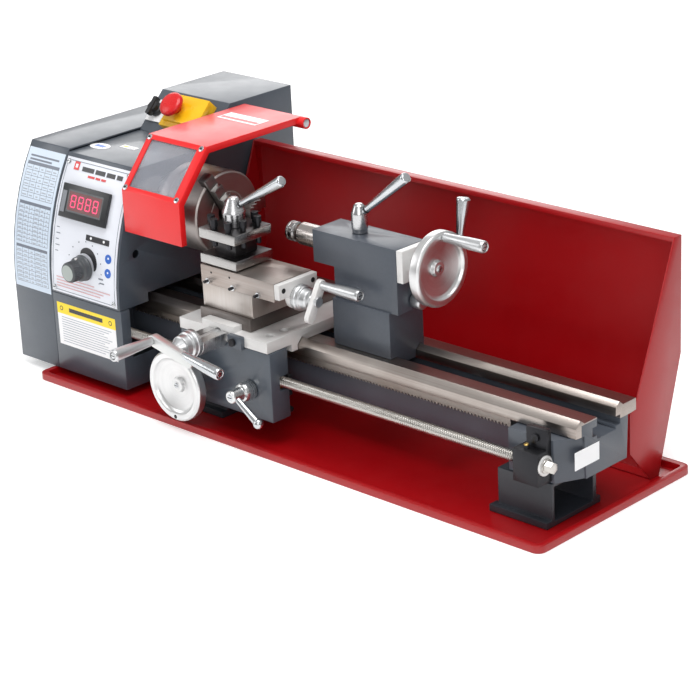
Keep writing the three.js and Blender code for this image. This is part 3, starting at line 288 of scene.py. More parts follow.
SLIDE_STEEL = ground_steel("ground slide steel", (0.44, 0.40, 0.38), 0.40)
FACE_STEEL = ground_steel("ground face steel", (0.56, 0.53, 0.51), 0.38, "z")
DARK_SLIDE = ground_steel("dark ground steel", (0.20, 0.185, 0.18), 0.38)
CHUCK_STEEL = turned_metal("turned chuck steel", (0.37, 0.335, 0.32), 0.40, "x", tuple(SPINDLE), 900)
PALE_CAST = cast_metal("pale cast alloy", (0.70, 0.69, 0.68), 0.42, 600, 0.25)
BRIGHT_CAST = cast_metal("bright cast alloy", (0.66, 0.67, 0.66), 0.36, 500, 0.8)
SCREW_STEEL = turned_metal(
    "leadscrew steel", (0.55, 0.53, 0.50), 0.30, "x", (0, middle("leadscrew")[1], middle("leadscrew")[2])
)
BRASS = cast_metal("machined brass", (0.62, 0.42, 0.13), 0.3, 900, 1.0)
BLACK_OXIDE = cast_metal("black oxide steel", (0.028, 0.028, 0.032), 0.36, 900, 0.75)
BLACK_STEEL = cast_metal("black tool steel", (0.050, 0.048, 0.050), 0.34, 700, 0.8)


# %% Plastics and films
def plastic(name, colour, rough, grain=1500, bump=0.12, variation=0.10):
    f = Finish(name, coat_weight=0.05)
    tone = f.noise(30, 3).step(0.5, 0.6)
    f.set(base_color=f.mix(tone, shade(colour, 1 - variation), shade(colour, 1 + variation)))
    f.set(roughness=rough + (f.noise(120, 2) - 0.5) * 0.14)
    f.bump(f.noise(grain, 2), bump, 0.1 * MM)
    return f.material


def printed(name, colour, rough=0.34):
    """Ink or label film: nearly even, with the faint mottle of print."""
    return plastic(name, colour, rough, 2500, 0.03, 0.03)


PANEL_FILM = printed("panel film", (0.72, 0.74, 0.80))
CHART_FILM = printed("chart film", (0.56, 0.64, 0.74))
GREY_INK = printed("grey ink", (0.14, 0.16, 0.20))
PALE_INK = printed("pale grey ink", (0.34, 0.37, 0.42))
BLACK_INK = printed("black ink", (0.02, 0.02, 0.024))
RED_INK = printed("red ink", (0.60, 0.03, 0.03))
BLUE_INK = printed("blue ink", (0.02, 0.12, 0.50))
YELLOW_FILM = printed("yellow film", (0.90, 0.66, 0.01))
WHITE_FILM = printed("white film", (0.84, 0.84, 0.85))
YELLOW_PLASTIC = plastic("yellow plastic", (0.88, 0.50, 0.01), 0.3)
RED_PLASTIC = plastic("red plastic", (0.62, 0.008, 0.010), 0.28)
BLACK_PLASTIC = plastic("black plastic", (0.016, 0.016, 0.018), 0.42)
GREY_PLASTIC = plastic("grey plastic", (0.17, 0.18, 0.20), 0.38)
DARK_RUBBER = plastic("dark rubber", (0.012, 0.012, 0.013), 0.65, 700, 0.3)
BEZEL_PLASTIC = plastic("display bezel plastic", (0.016, 0.018, 0.020), 0.35)


def lit(name, colour, strength):
    """A glowing digit behind tinted film."""
    f = Finish(name, base_color=colour, roughness=0.4, emission_strength=strength)
    f.set(emission_color=f.mix(f.noise(400, 2), shade(colour, 0.85), colour))
    return f.material


DIGIT_RED = lit("lit digit pink", (1.0, 0.05, 0.16), 0.9)
DIGIT_OFF = printed("dark red film", (0.10, 0.004, 0.006), 0.2)


def clear_sheet():
    """Smoked clear sheet: mostly see-through, with fine wiping marks in its gloss."""
    f = Finish("smoked clear sheet", base_color=(0.42, 0.44, 0.50), specular_ior_level=0.6)
    marks = f.noise(60, 5)
    f.set(alpha=0.34 + (marks - 0.5) * 0.08)
    f.set(roughness=0.10 + (marks - 0.5) * 0.08)
    return f.material


CLEAR = clear_sheet()
print(len(bpy.data.materials), "finishes")

# %% [markdown]
# ## Making surfaces
# New pieces are grids of points worked out as whole arrays: a profile turned about an axis, or an outline
# carried along one. A small helper puts the arrays into a mesh, hands it to its body and gives it its
# material.

# %% From arrays to a piece
AXES = {"x": np.array([1.0, 0, 0]), "y": np.array([0, 1.0, 0]), "z": np.array([0, 0, 1.0])}


def smooth(obj, degrees=32):
    """Shade the faces smooth, but keep edges sharper than the angle crisp."""
    mesh = obj.data
    mesh.shade_smooth()
    bm = bmesh.new()
    bm.from_mesh(mesh)
    for edge in bm.edges:
        edge.smooth = len(edge.link_faces) == 2 and edge.calc_face_angle(0) < math.radians(degrees)
    bm.to_mesh(mesh)
    bm.free()


def settle(obj, material, body, replaces=(), angle=32):
    """Give a finished piece its material and body, and hide the solids it stands for."""
    bpy.context.scene.collection.objects.link(obj)
    obj.data.materials.clear()
    obj.data.materials.append(material)
    smooth(obj, angle)
    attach(obj, body)
    for node in replaces:
        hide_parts(node)
    return obj


def mesh_of(name, points, faces):
    """A mesh from points and lists of faces, with doubles merged and faces turned out."""
    mesh = bpy.data.meshes.new(name)
    mesh.from_pydata(np.asarray(points, float).tolist(), [], [list(map(int, f)) for f in faces])
    bm = bmesh.new()
    bm.from_mesh(mesh)
    bmesh.ops.remove_doubles(bm, verts=bm.verts, dist=1e-7)
    bmesh.ops.recalc_face_normals(bm, faces=bm.faces)
    bm.to_mesh(mesh)
    bm.free()
    return bpy.data.objects.new(name, mesh)


def grid_faces(rows, columns, wrap=True):
    """Quads between neighbouring points of a grid; wrap joins the last column to the first."""
    i, j = np.meshgrid(np.arange(rows - 1), np.arange(columns if wrap else columns - 1), indexing="ij")
    k = (j + 1) % columns
    quad = np.stack([i * columns + j, i * columns + k, (i + 1) * columns + k, (i + 1) * columns + j], -1)
    return quad.reshape(-1, 4)


def soften(profile, radius=0.5, steps=3):
    """Round a profile's corners: each becomes a quadratic curve from radius before to radius after."""
    p = np.asarray(profile, float)
    out = [p[0]]
    for before, here, after in zip(p[:-2], p[1:-1], p[2:]):
        a, b = before - here, after - here
        la, lb = np.linalg.norm(a), np.linalg.norm(b)
        r = min(radius, 0.45 * la, 0.45 * lb)
        start, end = here + a / la * r, here + b / lb * r
        t = np.linspace(0, 1, steps + 1)[:, None]
        out.extend((1 - t) ** 2 * start + 2 * t * (1 - t) * here + t**2 * end)
    out.append(p[-1])
    return np.array(out)


def frame_about(direction):
    """Two unit vectors square to a direction and to each other."""
    d = np.asarray(direction, float) / np.linalg.norm(direction)
    helper = AXES["z"] if abs(d[2]) < 0.9 else AXES["x"]
    side = np.cross(helper, d)
    side /= np.linalg.norm(side)
    return d, side, np.cross(d, side)


def turned_points(origin, direction, profile, segments):
    """origin + along * direction + radius * (cos t * side + sin t * other), profile in millimetres."""
    d, side, other = frame_about(direction)
    t = np.linspace(0, 2 * np.pi, segments, endpoint=False)
    ring = np.cos(t)[:, None] * side + np.sin(t)[:, None] * other
    p = np.asarray(profile, float) * MM
    points = origin + p[:, 1][:, None, None] * d + p[:, 0][:, None, None] * ring[None]
    return points.reshape(-1, 3), grid_faces(len(p), segments)


def turned(name, origin, direction, profile, segments=72, round_by=0.5):
    """A turned piece: its (radius, along) profile in millimetres ends on the axis or closes."""
    fine = soften(profile, round_by) if round_by else np.asarray(profile, float)
    return mesh_of(name, *turned_points(np.asarray(origin, float), direction, fine, segments))


def plane_of(axis):
    """The two axes of an outline carried along an axis: y, z for x; z, x for y; x, y for z."""
    return {"x": (1, 2, 0), "y": (2, 0, 1), "z": (0, 1, 2)}[axis]


def carried(name, axis, outline, start, end, bevel=0.5, segments=2):
    """A closed outline in metres carried along an axis, edges rounded by a bevel in millimetres."""
    a, b, c = plane_of(axis)
    n = len(outline)
    points = np.zeros((2 * n, 3))
    points[:, a] = np.tile(np.asarray(outline)[:, 0], 2)
    points[:, b] = np.tile(np.asarray(outline)[:, 1], 2)
    points[:, c] = np.repeat([start, end], n)
    i = np.arange(n)
    sides = np.stack([i, (i + 1) % n, (i + 1) % n + n, i + n], -1).tolist()
    obj = mesh_of(name, points, sides + [i.tolist(), (i + n).tolist()])
    return rounded(obj, bevel, segments)


def rounded(obj, bevel, segments=2, angle=28):
    """Bevel the sharp edges of a mesh by a width in millimetres, with the result kept in the mesh."""
    if bevel:
        bm = bmesh.new()
        bm.from_mesh(obj.data)
        sharp = [
            e
            for e in bm.edges if len(e.link_faces) == 2 and e.calc_face_angle(0) > math.radians(angle)
        ]
        bmesh.ops.bevel(
            bm, geom=sharp, offset=bevel * MM, offset_type="OFFSET", segments=segments, profile=0.5,
            affect="EDGES", clamp_overlap=True,
        )
        bm.to_mesh(obj.data)
        bm.free()
    return obj


def slab(name, lo, hi, bevel=0.5):
    """A box between two corners with rounded edges."""
    lo, hi = np.asarray(lo, float), np.asarray(hi, float)
    outline = [(lo[0], lo[1]), (hi[0], lo[1]), (hi[0], hi[1]), (lo[0], hi[1])]
    return carried(name, "z", outline, lo[2], hi[2], bevel)


def joined(name, *objects):
    """Several meshes put together as one piece."""
    bm = bmesh.new()
    for obj in objects:
        bm.from_mesh(obj.data)
    mesh = bpy.data.meshes.new(name)
    bm.to_mesh(mesh)
    bm.free()
    for obj in objects:
        bpy.data.objects.remove(obj)
    return bpy.data.objects.new(name, mesh)


# %% [markdown]
# ## Dressing the castings
# Most castings and plates already have the right shape; only their edges are knife sharp. A merged copy
# of the solid, with flat faces joined again and a small bevel all round, catches the light as a real edge.

# %% A copy with rounded edges


def dressed(node, material, bevel=0.6, angle=32, segments=2):
    """Copy a solid, merge its triangles into flat faces, and round its edges."""
    source = frame["nodes"][node]
    mesh = source.data.copy()
    name = node + "_skin"
    mesh.name = name
    bm = bmesh.new()
    bm.from_mesh(mesh)
    bmesh.ops.remove_doubles(bm, verts=bm.verts, dist=2e-6)
    bmesh.ops.dissolve_limit(bm, angle_limit=math.radians(0.6), verts=bm.verts, edges=bm.edges)
    bmesh.ops.recalc_face_normals(bm, faces=bm.faces)
    bm.to_mesh(mesh)
    bm.free()
    obj = rounded(bpy.data.objects.new(name, mesh), bevel, segments)
    return settle(obj, material, body_of[node], (node,), angle=angle)


DRESS = {
    "chip_tray": (RED_PAINT, 0.9),
    "splash_guard": (RED_PAINT, 0.35),
    "left_foot": (FOOT_PAINT, 1.5),
    "right_foot": (FOOT_PAINT, 1.5),
    "headstock_casting": (CAST_PAINT, 1.0),
    "headstock_cover": (GREY_PAINT, 0.8),
    "headstock_base_cover": (GREY_PAINT, 0.8),
    "gear_cover": (GREY_PAINT, 0.9),
    "rear_box": (GREY_PAINT, 1.0),
    "motor": (BLACK_PAINT, 1.0),
    "gear_bracket": (CAST_PAINT, 0.6),
    "leadscrew_bracket": (BLACK_OXIDE, 0.7),
    "chuck_guard": (GUARD_PAINT, 0.4),
    "saddle": (PALE_CAST, 0.8),
    "apron": (GREY_PAINT, 1.2),
    "cross_slide": (DARK_SLIDE, 0.6),
    "swivel_base": (FACE_STEEL, 0.6),
    "compound_slide": (SLIDE_STEEL, 0.5),
    "compound_end_plate": (PALE_CAST, 0.7),
    "tailstock": (CAST_PAINT, 1.2),
    "tailstock_end_plate": (PALE_CAST, 0.8),
    "stop_switch_box": (YELLOW_PLASTIC, 2.0),
}
for node, (material, bevel) in DRESS.items():
    dressed(node, material, bevel)
print(len(DRESS), "solids dressed")

# %% [markdown]
# ## Shapes for the small parts
# Four more helpers: a thin sheet from a grid of points, a solid with others carved out of
# it, a point on the leaning front, and a point counted from the spindle plane and the ways.

# %% Sheets, carving and places


def at(x, y, z):
    """A point from millimetres: x along the bed, y from the spindle plane, z above the flat ways."""
    return np.array([x * MM, SPINDLE[1] + y * MM, WAY + z * MM])


def pad(name, outer, inward):
    """A thin closed sheet: a grid of points (rows, columns, 3) and the same grid moved by a vector."""
    rows, columns = outer.shape[:2]
    n = rows * columns
    points = np.concatenate([outer.reshape(-1, 3), (outer + inward).reshape(-1, 3)])
    front = grid_faces(rows, columns, wrap=False)
    index = np.arange(n).reshape(rows, columns)
    edge = np.concatenate([index[0], index[1:, -1], index[-1, -2::-1], index[-2:0:-1, 0]])
    sides = np.stack([edge, np.roll(edge, -1), np.roll(edge, -1) + n, edge + n], -1)
    return mesh_of(name, points, np.concatenate([front, front + n, sides]))


def carve(obj, *tools):
    """Cut the tools out of a mesh with exact booleans: what is left is the mesh outside every tool."""
    objects = bpy.context.scene.collection.objects
    for item in (obj, *tools):
        objects.link(item)
    for tool in tools:
        cut = obj.modifiers.new("cut", "BOOLEAN")
        cut.operation, cut.solver, cut.object = "DIFFERENCE", "EXACT", tool
    mesh = bpy.data.meshes.new_from_object(obj.evaluated_get(bpy.context.evaluated_depsgraph_get()))
    name = obj.name
    for item in (obj, *tools):
        bpy.data.objects.remove(item)
    return bpy.data.objects.new(name, mesh)


def front_normal(z):
    """Outward from the leaning front: its angle back from upright is asin(rise / ARC_RADIUS)."""
    lean = math.asin(max(0.0, z - WAY) / ARC_RADIUS)
    return np.array([0.0, -math.cos(lean), math.sin(lean)])


def turned_by(points, centre, axis, degrees):
    """Points turned about an axis through a centre: the part along the axis stays, the rest rotates."""
    t = math.radians(degrees)
    k = AXES[axis]
    v = np.asarray(points) - centre
    along = (v @ k)[..., None] * k
    return centre + along + (v - along) * math.cos(t) + np.cross(k, v) * math.sin(t)


def turn_mesh(obj, centre, axis, degrees):
    """Turn a mesh in place about an axis through a centre."""
    mesh = obj.data
    flat = np.empty(len(mesh.vertices) * 3)
    mesh.vertices.foreach_get("co", flat)
    mesh.vertices.foreach_set("co", turned_by(flat.reshape(-1, 3), centre, axis, degrees).ravel())
    mesh.update()
    return obj


def alloy_about(name, axis, centre, colour=(0.62, 0.63, 0.64), rough=0.34, ring=1600.0):
    """Turned alloy with its rings round one axis through a point."""
    return turned_metal(name, colour, rough, axis, tuple(float(c) for c in centre), ring)


POLISHED = cast_metal("polished lever steel", (0.58, 0.60, 0.62), 0.22, 260, 1.0)
SOCKET_DARK = plastic("socket shadow", (0.004, 0.004, 0.005), 0.7)


def cap_screw(name, base, direction, radius, height, body, material=BLACK_OXIDE, socket=True):
    """A socket cap screw standing on base: a straight head with a rounded rim and a hex socket."""
    d = np.asarray(direction, float) / np.linalg.norm(direction)
    base = np.asarray(base, float)
    head = turned(
        name, base - d * 0.2 * MM, d, [(0, 0), (radius, 0), (radius, height + 0.2), (0, height + 0.2)],
        28, 0.5
    )
    settle(head, material, body)
    if socket:
        top = base + d * (height + 0.02) * MM
        dark = turned(
            name + "_socket", top, d,
            [(0, -0.3), (radius * 0.52, -0.3), (radius * 0.52, 0.04), (0, 0.04)], 6, 0
        )
        settle(dark, SOCKET_DARK, body)


def slotted_screw(name, base, direction, radius, body, material=None, height=1.6):
    """A domed screw with a straight dark slot across its head."""
    d, side, other = frame_about(direction)
    base = np.asarray(base, float)
    profile = [
        (0, -0.3), (radius, -0.3), (radius, height * 0.45), (radius * 0.6, height * 0.85), (0, height)
    ]
    settle(turned(name, base, d, profile, 28, 0.25), material or POLISHED, body)
    u = np.linspace(-0.82, 0.82, 9) * radius * MM
    rise = (height * (1 - 0.16 * (u / (radius * MM)) ** 2 * 2.6) + 0.05) * MM
    rows = np.stack(
        [base + v * radius * 0.13 * MM * other + u[:, None] * side + rise[:, None] * d for v in (-1, 1)]
    )
    settle(pad(name + "_slot", rows, -d * 0.5 * MM), SOCKET_DARK, body)


# %% [markdown]
# ## Bed, rack and leadscrew
# The bed is one casting: painted below, ground bright on the ways. Its finish changes from paint to steel
# with height. The rack under its front lip has straight teeth, and the leadscrew a square-cut thread.

# %% Bed


def bed_finish():
    """Paint up to the ground band under the ways, steel above it, and dark paint down in the slot."""
    f = Finish("bed, painted and ground", coat_roughness=0.15)
    x, y, z = f.split(f.place())
    across = (y - middle("bed")[1]).maths("ABSOLUTE")
    steel = z.step(WAY - 14.2 * MM, 0.4 * MM)
    slot = across.step(22.5 * MM, 0.4 * MM)
    top = z.step(WAY - 1.5 * MM, 0.4 * MM)
    steel = steel * (slot + top).clip()
    lines = f.noise(1.0, 4, f.join(x * 5.0, y * 900.0, z * 900.0), 0.6)
    cloud = f.noise(12, 4)
    brown = f.mix((cloud * 0.6 + lines * 0.4).step(0.5, 0.35), (0.46, 0.42, 0.39), (0.30, 0.25, 0.225))
    grey = f.mix(f.noise(20, 4).step(0.5, 0.5), (0.052, 0.060, 0.076), (0.072, 0.084, 0.104))
    f.set(base_color=f.mix(steel, grey, brown), metallic=steel, coat_weight=0.15 - steel * 0.15)
    f.set(roughness=0.42 - steel * 0.10 + (lines - 0.5) * 0.22)
    f.bump(f.noise(420, 2), 0.22)
    return f.material


dressed("bed", bed_finish(), 0.7)
RACK_STEEL = ground_steel("rack steel", (0.34, 0.31, 0.29), 0.38, "x", 0.3)
lo, hi = low("feed_rack"), high("feed_rack")
pitch, depth = 4.71 * MM, 2.6 * MM
count = int((hi[0] - lo[0] - 4 * MM) / pitch)
tooth = lo[0] + 2 * MM + pitch * (np.arange(count)[:, None] + np.array([0.0, 0.18, 0.32, 0.82]))
drop = np.tile([0.0, 1.0, 1.0, 0.0], count) * depth
rack_x = np.concatenate([[lo[0]], tooth.ravel()[: 4 * count], [hi[0], hi[0], lo[0]]])
rack_z = np.concatenate([[lo[2]], lo[2] + drop, [lo[2], hi[2], hi[2]]])
rack = carried("feed_rack_teeth", "y", np.stack([rack_z, rack_x], -1), lo[1], hi[1], 0)
settle(rack, RACK_STEEL, "frame", ("feed_rack",), angle=15)
print(count, "rack teeth")

# %% Leadscrew


def threaded(name, x0, x1, centre, outer, depth_mm, pitch_mm, columns=28):
    """A squarish thread: radius = outer - depth * s, s a softened wave of (x / pitch - turn)."""
    steps = int((x1 - x0) / (pitch_mm * MM / 8))
    xs = np.linspace(x0, x1, steps)
    t = np.linspace(0, 2 * np.pi, columns, endpoint=False)
    phase = (xs[:, None] / (pitch_mm * MM) - t[None] / (2 * np.pi)) % 1.0
    s = np.clip((np.abs(phase - 0.5) - 0.17) / 0.12, 0, 1)
    fade = np.clip(np.minimum(xs - x0, x1 - xs) / (2 * MM), 0, 1)[:, None]
    r = (outer - depth_mm * s * fade) * MM
    x = np.broadcast_to(xs[:, None], r.shape)
    points = np.stack([x, centre[1] + r * np.cos(t), centre[2] + r * np.sin(t)], -1).reshape(-1, 3)
    faces = grid_faces(steps, columns).tolist()
    faces += [list(range(columns)), list(range((steps - 1) * columns, steps * columns))]
    return mesh_of(name, points, faces)


screw_at = middle("leadscrew")
screw_at[1], screw_at[2] = at(0, -75, -39)[1:]
right = high("bed")[0]
screw = threaded("leadscrew_thread", low("bed")[0] + 28 * MM, right - 60 * MM, screw_at, 6.0, 1.1, 3.0)
settle(screw, SCREW_STEEL, "leadscrew", angle=40)
ends = dressed("leadscrew", SCREW_STEEL, 0.25)
flat = np.empty(len(ends.data.vertices) * 3)
ends.data.vertices.foreach_get("co", flat)
p = flat.reshape(-1, 3)
arm = p[:, 1:] - screw_at[1:]
radius = np.linalg.norm(arm, axis=1)
inner = (p[:, 0] > low("bed")[0] + 26 * MM) & (p[:, 0] < right - 59 * MM) & (radius > 4.6 * MM)
p[inner, 1:] = screw_at[1:] + arm[inner] / radius[inner, None] * 4.6 * MM
ends.data.vertices.foreach_set("co", p.ravel())
ends.data.update()


# %% [markdown]
# ## Drive parts
# Pulleys, gears and bearings sit behind the covers, so they keep the shape of their solids with softened
# edges and a fitting metal.

# %% Drive
GEAR_STEEL = cast_metal("gear steel", (0.40, 0.38, 0.36), 0.34, 800, 0.95)
PULLEY_ALLOY = cast_metal("pulley alloy", (0.62, 0.63, 0.64), 0.30, 700, 0.95)
ROD_STEEL = alloy_about("hinge rod steel", "x", middle("guard_hinge_rod"), (0.42, 0.43, 0.45), 0.3)
QUILL_STEEL = turned_metal("quill steel", (0.50, 0.46, 0.44), 0.24, "x", tuple(SPINDLE), 1400)
INSIDE = {
    "rear_bearing": (CHUCK_STEEL, 0.4),
    "front_bearing": (CHUCK_STEEL, 0.4),
    "motor_pulley": (PULLEY_ALLOY, 0.4),
    "upper_idler_gear": (GEAR_STEEL, 0.2),
    "lower_idler_gear": (GEAR_STEEL, 0.2),
    "drive_belt": (DARK_RUBBER, 0.3),
    "spindle": (CHUCK_STEEL, 0.25),
    "half_nut_upper": (BRASS, 0.5),
    "half_nut_lower": (BRASS, 0.5),
    "guard_hinge_rod": (ROD_STEEL, 0.4),
    "guard_window": (CLEAR, 0.3),
    "control_panel": (PANEL_FILM, 0.2),
    "speed_display": (BEZEL_PLASTIC, 0.7),
    "selector_switch": (BLACK_PLASTIC, 0.7),
}
for node, (material, bevel) in INSIDE.items():
    dressed(node, material, bevel)

# %% [markdown]
# ## Chuck
# The body is turned again with a finer outline, then the three slots and three key holes are carved out.
# Rings cut in its edge and face show the turning. The jaws keep their steps and get softened edges.

# %% Chuck
back, face = low("chuck_body")[0], high("chuck_body")[0]
R = (high("chuck_body")[2] - low("chuck_body")[2]) / 2 / MM
length = (face - back) / MM
line = SPINDLE.copy()
line[0] = back
profile = [
    (11, 0), (R - 1.5, 0), (R, 1.5), (R, 14), (R - 0.5, 14.5), (R - 0.5, 15.5), (R, 16),
    (R, length - 2), (R - 2, length), (27, length), (26.4, length - 0.5), (25.6, length - 0.5),
    (25, length),
    (15, length), (13, length - 2), (11, length - 3), (11, 0),
]
chuck = turned("chuck_round", line, (1, 0, 0), profile, 120, 0.4)
slots, keys = [], []
for angle in (30, 150, 270):
    slot = slab("slot", (face - 9 * MM, SPINDLE[1] - 7.35 * MM, SPINDLE[2] + 5 * MM),
                (face + 2 * MM, SPINDLE[1] + 7.35 * MM, SPINDLE[2] + 60 * MM), 0)
    slots.append(turn_mesh(slot, SPINDLE, "x", angle))
    hole = turned("key", (back + 34 * MM, SPINDLE[1], SPINDLE[2] + 38 * MM), (0, 0, 1),
                  [(0, 0), (5.5, 0), (5.5, 20), (0, 20)], 24, 0)
    keys.append(turn_mesh(hole, SPINDLE, "x", angle + 60))
settle(carve(chuck, *slots, *keys), CHUCK_STEEL, body_of["chuck_body"], ("chuck_body",), angle=35)


def jaw_steel_with_slot_shade():
    """Ground jaws: bright in front of the chuck's face, darkened by painted shade behind it, where they sit
    in the slots.
    """
    f = Finish("chuck jaw steel with painted slot shade", metallic=1.0)
    x, y, z = f.split(f.place())
    lines = f.noise(1.0, 4, f.join(x * 800.0, y * 40.0, z * 40.0), 0.6)
    cloud = f.noise(30, 4)
    # painted shade: the jaws turn darker behind the chuck's face, inside its slots
    bright = x.step(face + 1.5 * MM, 2 * MM)
    tone = (cloud * 0.5 + lines * 0.5).step(0.5, 0.5)
    pale = f.mix(tone, (0.22, 0.215, 0.21), (0.34, 0.33, 0.32))
    dark = f.mix(tone, (0.10, 0.095, 0.095), (0.17, 0.16, 0.155))
    f.set(base_color=f.mix(bright, dark, pale), roughness=0.30 + (lines - 0.5) * 0.2)
    f.bump(lines, 0.12, 0.05 * MM)
    return f.material


JAW_STEEL_SLOT_SHADED = jaw_steel_with_slot_shade()
for i in (1, 2, 3):
    dressed(f"jaw_{i}", JAW_STEEL_SLOT_SHADED, 0.45)
print("chuck of", round(2 * R), "mm")

# %% [markdown]
# ## Wheels, cranks and handles
# Each wheel is turned with a dished face, a rounded rim and a boss. Each handle swells towards its end,
# which holds a slotted screw in a small recess.

# %% Wheels


def wheel(name, origin, direction, material, body, replaces, tail):
    """A dished handwheel: rim, sloping web and a stepped hub, then the shaft profile given as tail."""
    profile = [
        (0, 5), (4.2, 5), (4.6, 5.6), (8, 5.6), (9.4, 10), (30, 4.6), (32.4, 2.8), (34, 0.3), (35, 0),
        (39.6, 0),
        (42, 2.4), (42, 11.6), (39.5, 14), (34, 13.4), (14, 17), (12, 20), *tail,
    ]
    obj = turned(name, origin, direction, profile, 128, 0.8)
    return settle(obj, material, body, replaces, angle=38)


def handle(name, root, direction, body, replaces=(), axis=None, length=57.0):
    """A turned handle whose radius grows from 4.8 to 7 mm, with a groove round the screw in its end."""
    profile = [
        (0, 0), (4.8, 0), (5.0, 2), (5.4, length * 0.25), (6.6, length * 0.6), (7.0, length - 3),
        (6.3, length),
        (4.4, length), (4.3, length - 1.6), (3.5, length - 1.6), (3.4, length - 0.5), (0, length - 0.5),
    ]
    finish = alloy_about(name + " alloy", axis, root) if axis else POLISHED
    settle(turned(name, root, direction, profile, 48, 0.7), finish, body, replaces, angle=40)
    d, side, other = frame_about(direction)
    end = np.asarray(root, float) + d * (length - 0.45) * MM
    u = np.linspace(-3.1, 3.1, 3) * MM
    rows = np.stack([end + v * 0.5 * MM * other + u[:, None] * side for v in (-1, 1)])
    settle(pad(name + "_slot", rows, -d * 0.3 * MM), SOCKET_DARK, body)
    ring = turned(
        name + "_recess", end - d * 1.1 * MM, d,
        [(3.45, 0), (4.32, 0), (4.32, 0.15), (3.45, 0.15), (3.45, 0)], 32, 0
    )
    settle(ring, SOCKET_DARK, body)


wheel_x = middle("carriage_handwheel")[0] / MM
centre = at(wheel_x, -130, -58)
shaft = high("carriage_handwheel")[1]
reach = (shaft - centre[1]) / MM
WHEEL_ALLOY = alloy_about("carriage wheel alloy", "y", centre, (0.70, 0.70, 0.70), 0.34, 900)
wheel(
    "carriage_wheel", centre, (0, 1, 0), WHEEL_ALLOY, body_of["carriage_handwheel"],
    ("carriage_handwheel",),
    [(12, 24), (5, 24), (5, reach), (0, reach)],
)
body = body_of["carriage_handwheel"]
hole = turned(
    "wheel_hole", centre + np.array([0, 0.25 * MM, -37 * MM]), (0, -1, 0),
    [(0, 0), (2.4, 0), (2.4, 0.35), (0, 0.35)], 24, 0
)
settle(hole, SOCKET_DARK, body)
slotted_screw("wheel_hub_screw", centre + np.array([0, 5 * MM, 0]), (0, -1, 0), 3.4, body, POLISHED, 1.2)

tail_end = high("tailstock_handwheel")[0]
line = SPINDLE.copy()
line[0] = tail_end
inner = (tail_end - low("tailstock_handwheel")[0]) / MM
TAIL_ALLOY = alloy_about("tailstock wheel alloy", "x", SPINDLE, (0.70, 0.70, 0.70), 0.34, 900)
wheel(
    "tailstock_wheel", line, (-1, 0, 0), TAIL_ALLOY, body_of["tailstock_handwheel"],
    ("tailstock_handwheel",),
    [(12, 20.5), (11, 21), (11, 37.7), (6, 37.7), (6, inner), (0, inner)],
)
slotted_screw(
    "tail_hub_screw", line - np.array([5 * MM, 0, 0]), (1, 0, 0), 3.6, body_of["tailstock_handwheel"],
    POLISHED, 1.2
)
root = middle("tailstock_handle")
root[0] = low("tailstock_handle")[0]
handle("tailstock_grip", root, (1, 0, 0), body_of["tailstock_handle"], ("tailstock_handle",), "x")

# %% Cross feed
cross_x = middle("cross_feed_barrel")[0]
axis_at = np.array([cross_x, 0.0, WAY + 9 * MM])
lo, hi = low("cross_feed_barrel"), high("cross_feed_barrel")
start = np.array([cross_x, hi[1], axis_at[2]])
span = (hi[1] - lo[1]) / MM
BARREL_ALLOY = alloy_about("barrel alloy", "y", axis_at, (0.62, 0.62, 0.62), 0.30)
barrel = turned(
    "barrel_round", start, (0, -1, 0), [(5.4, 0), (16, 0), (16, span), (5.4, span), (5.4, 0)], 96, 0.7
)
flat = slab(
    "flat", (cross_x - 30 * MM, lo[1] - 5 * MM, hi[2]),
    (cross_x + 30 * MM, hi[1] + 5 * MM, hi[2] + 20 * MM), 0
)
settle(carve(barrel, flat), BARREL_ALLOY, "carriage", ("cross_feed_barrel",), angle=35)

crank_body = body_of["cross_feed_crank"]
CRANK_ALLOY = alloy_about("cross crank alloy", "y", axis_at, (0.64, 0.65, 0.66), 0.34)
dial_at = at(cross_x / MM, -136.3, 9)


def bent_arm(name, width, length, thick, place):
    """A flat arm with round ends in the x-z plane: two half circles joined, carried along y."""
    t = np.linspace(-np.pi / 2, np.pi / 2, 17)
    half = (length - width) / 2
    x = np.concatenate([half + width / 2 * np.cos(t), -half - width / 2 * np.cos(t)]) * MM
    z = np.concatenate([width / 2 * np.sin(t), -width / 2 * np.sin(t)]) * MM
    outline = np.stack([place[2] + z, place[0] + x], -1)
    return carried(name, "y", outline, place[1] - thick / 2 * MM, place[1] + thick / 2 * MM, 1.4, 3)


dial = turned("cross_dial", dial_at, (0, -1, 0), [
    (4.9, 0), (16, 0), (16, 5.2), (15.2, 5.9), (15.2, 10.6), (13, 11.8), (13, 19.6), (11.4, 20.3),
    (6.6, 26.6), (6, 27.2), (6, 34), (0, 34),
    (0, -74), (4.9, -74), (4.9, 0),
], 96, 0.5)
settle(dial, CRANK_ALLOY, crank_body, ("cross_feed_crank",), angle=35)
arm = bent_arm("cross_arm", 13, 71, 10, at(cross_x / MM, -168.3, 9))
turn_mesh(arm, axis_at, "y", 13)
settle(arm, BRIGHT_CAST, crank_body, angle=40)
fixed = [at(cross_x / MM + 18, -168.3, 8), at(cross_x / MM + 76, -168.3, -1)]
length = np.linalg.norm(fixed[1] - fixed[0]) / MM
handle("fixed_grip", fixed[0], fixed[1] - fixed[0], crank_body, length=length)
grip = at(cross_x / MM - 29 * math.cos(math.radians(13)), -173.6, 9 + 29 * math.sin(math.radians(13)))
handle("cross_grip", grip, (0, -1, 0), body_of["cross_feed_handle"], ("cross_feed_handle",), "y")


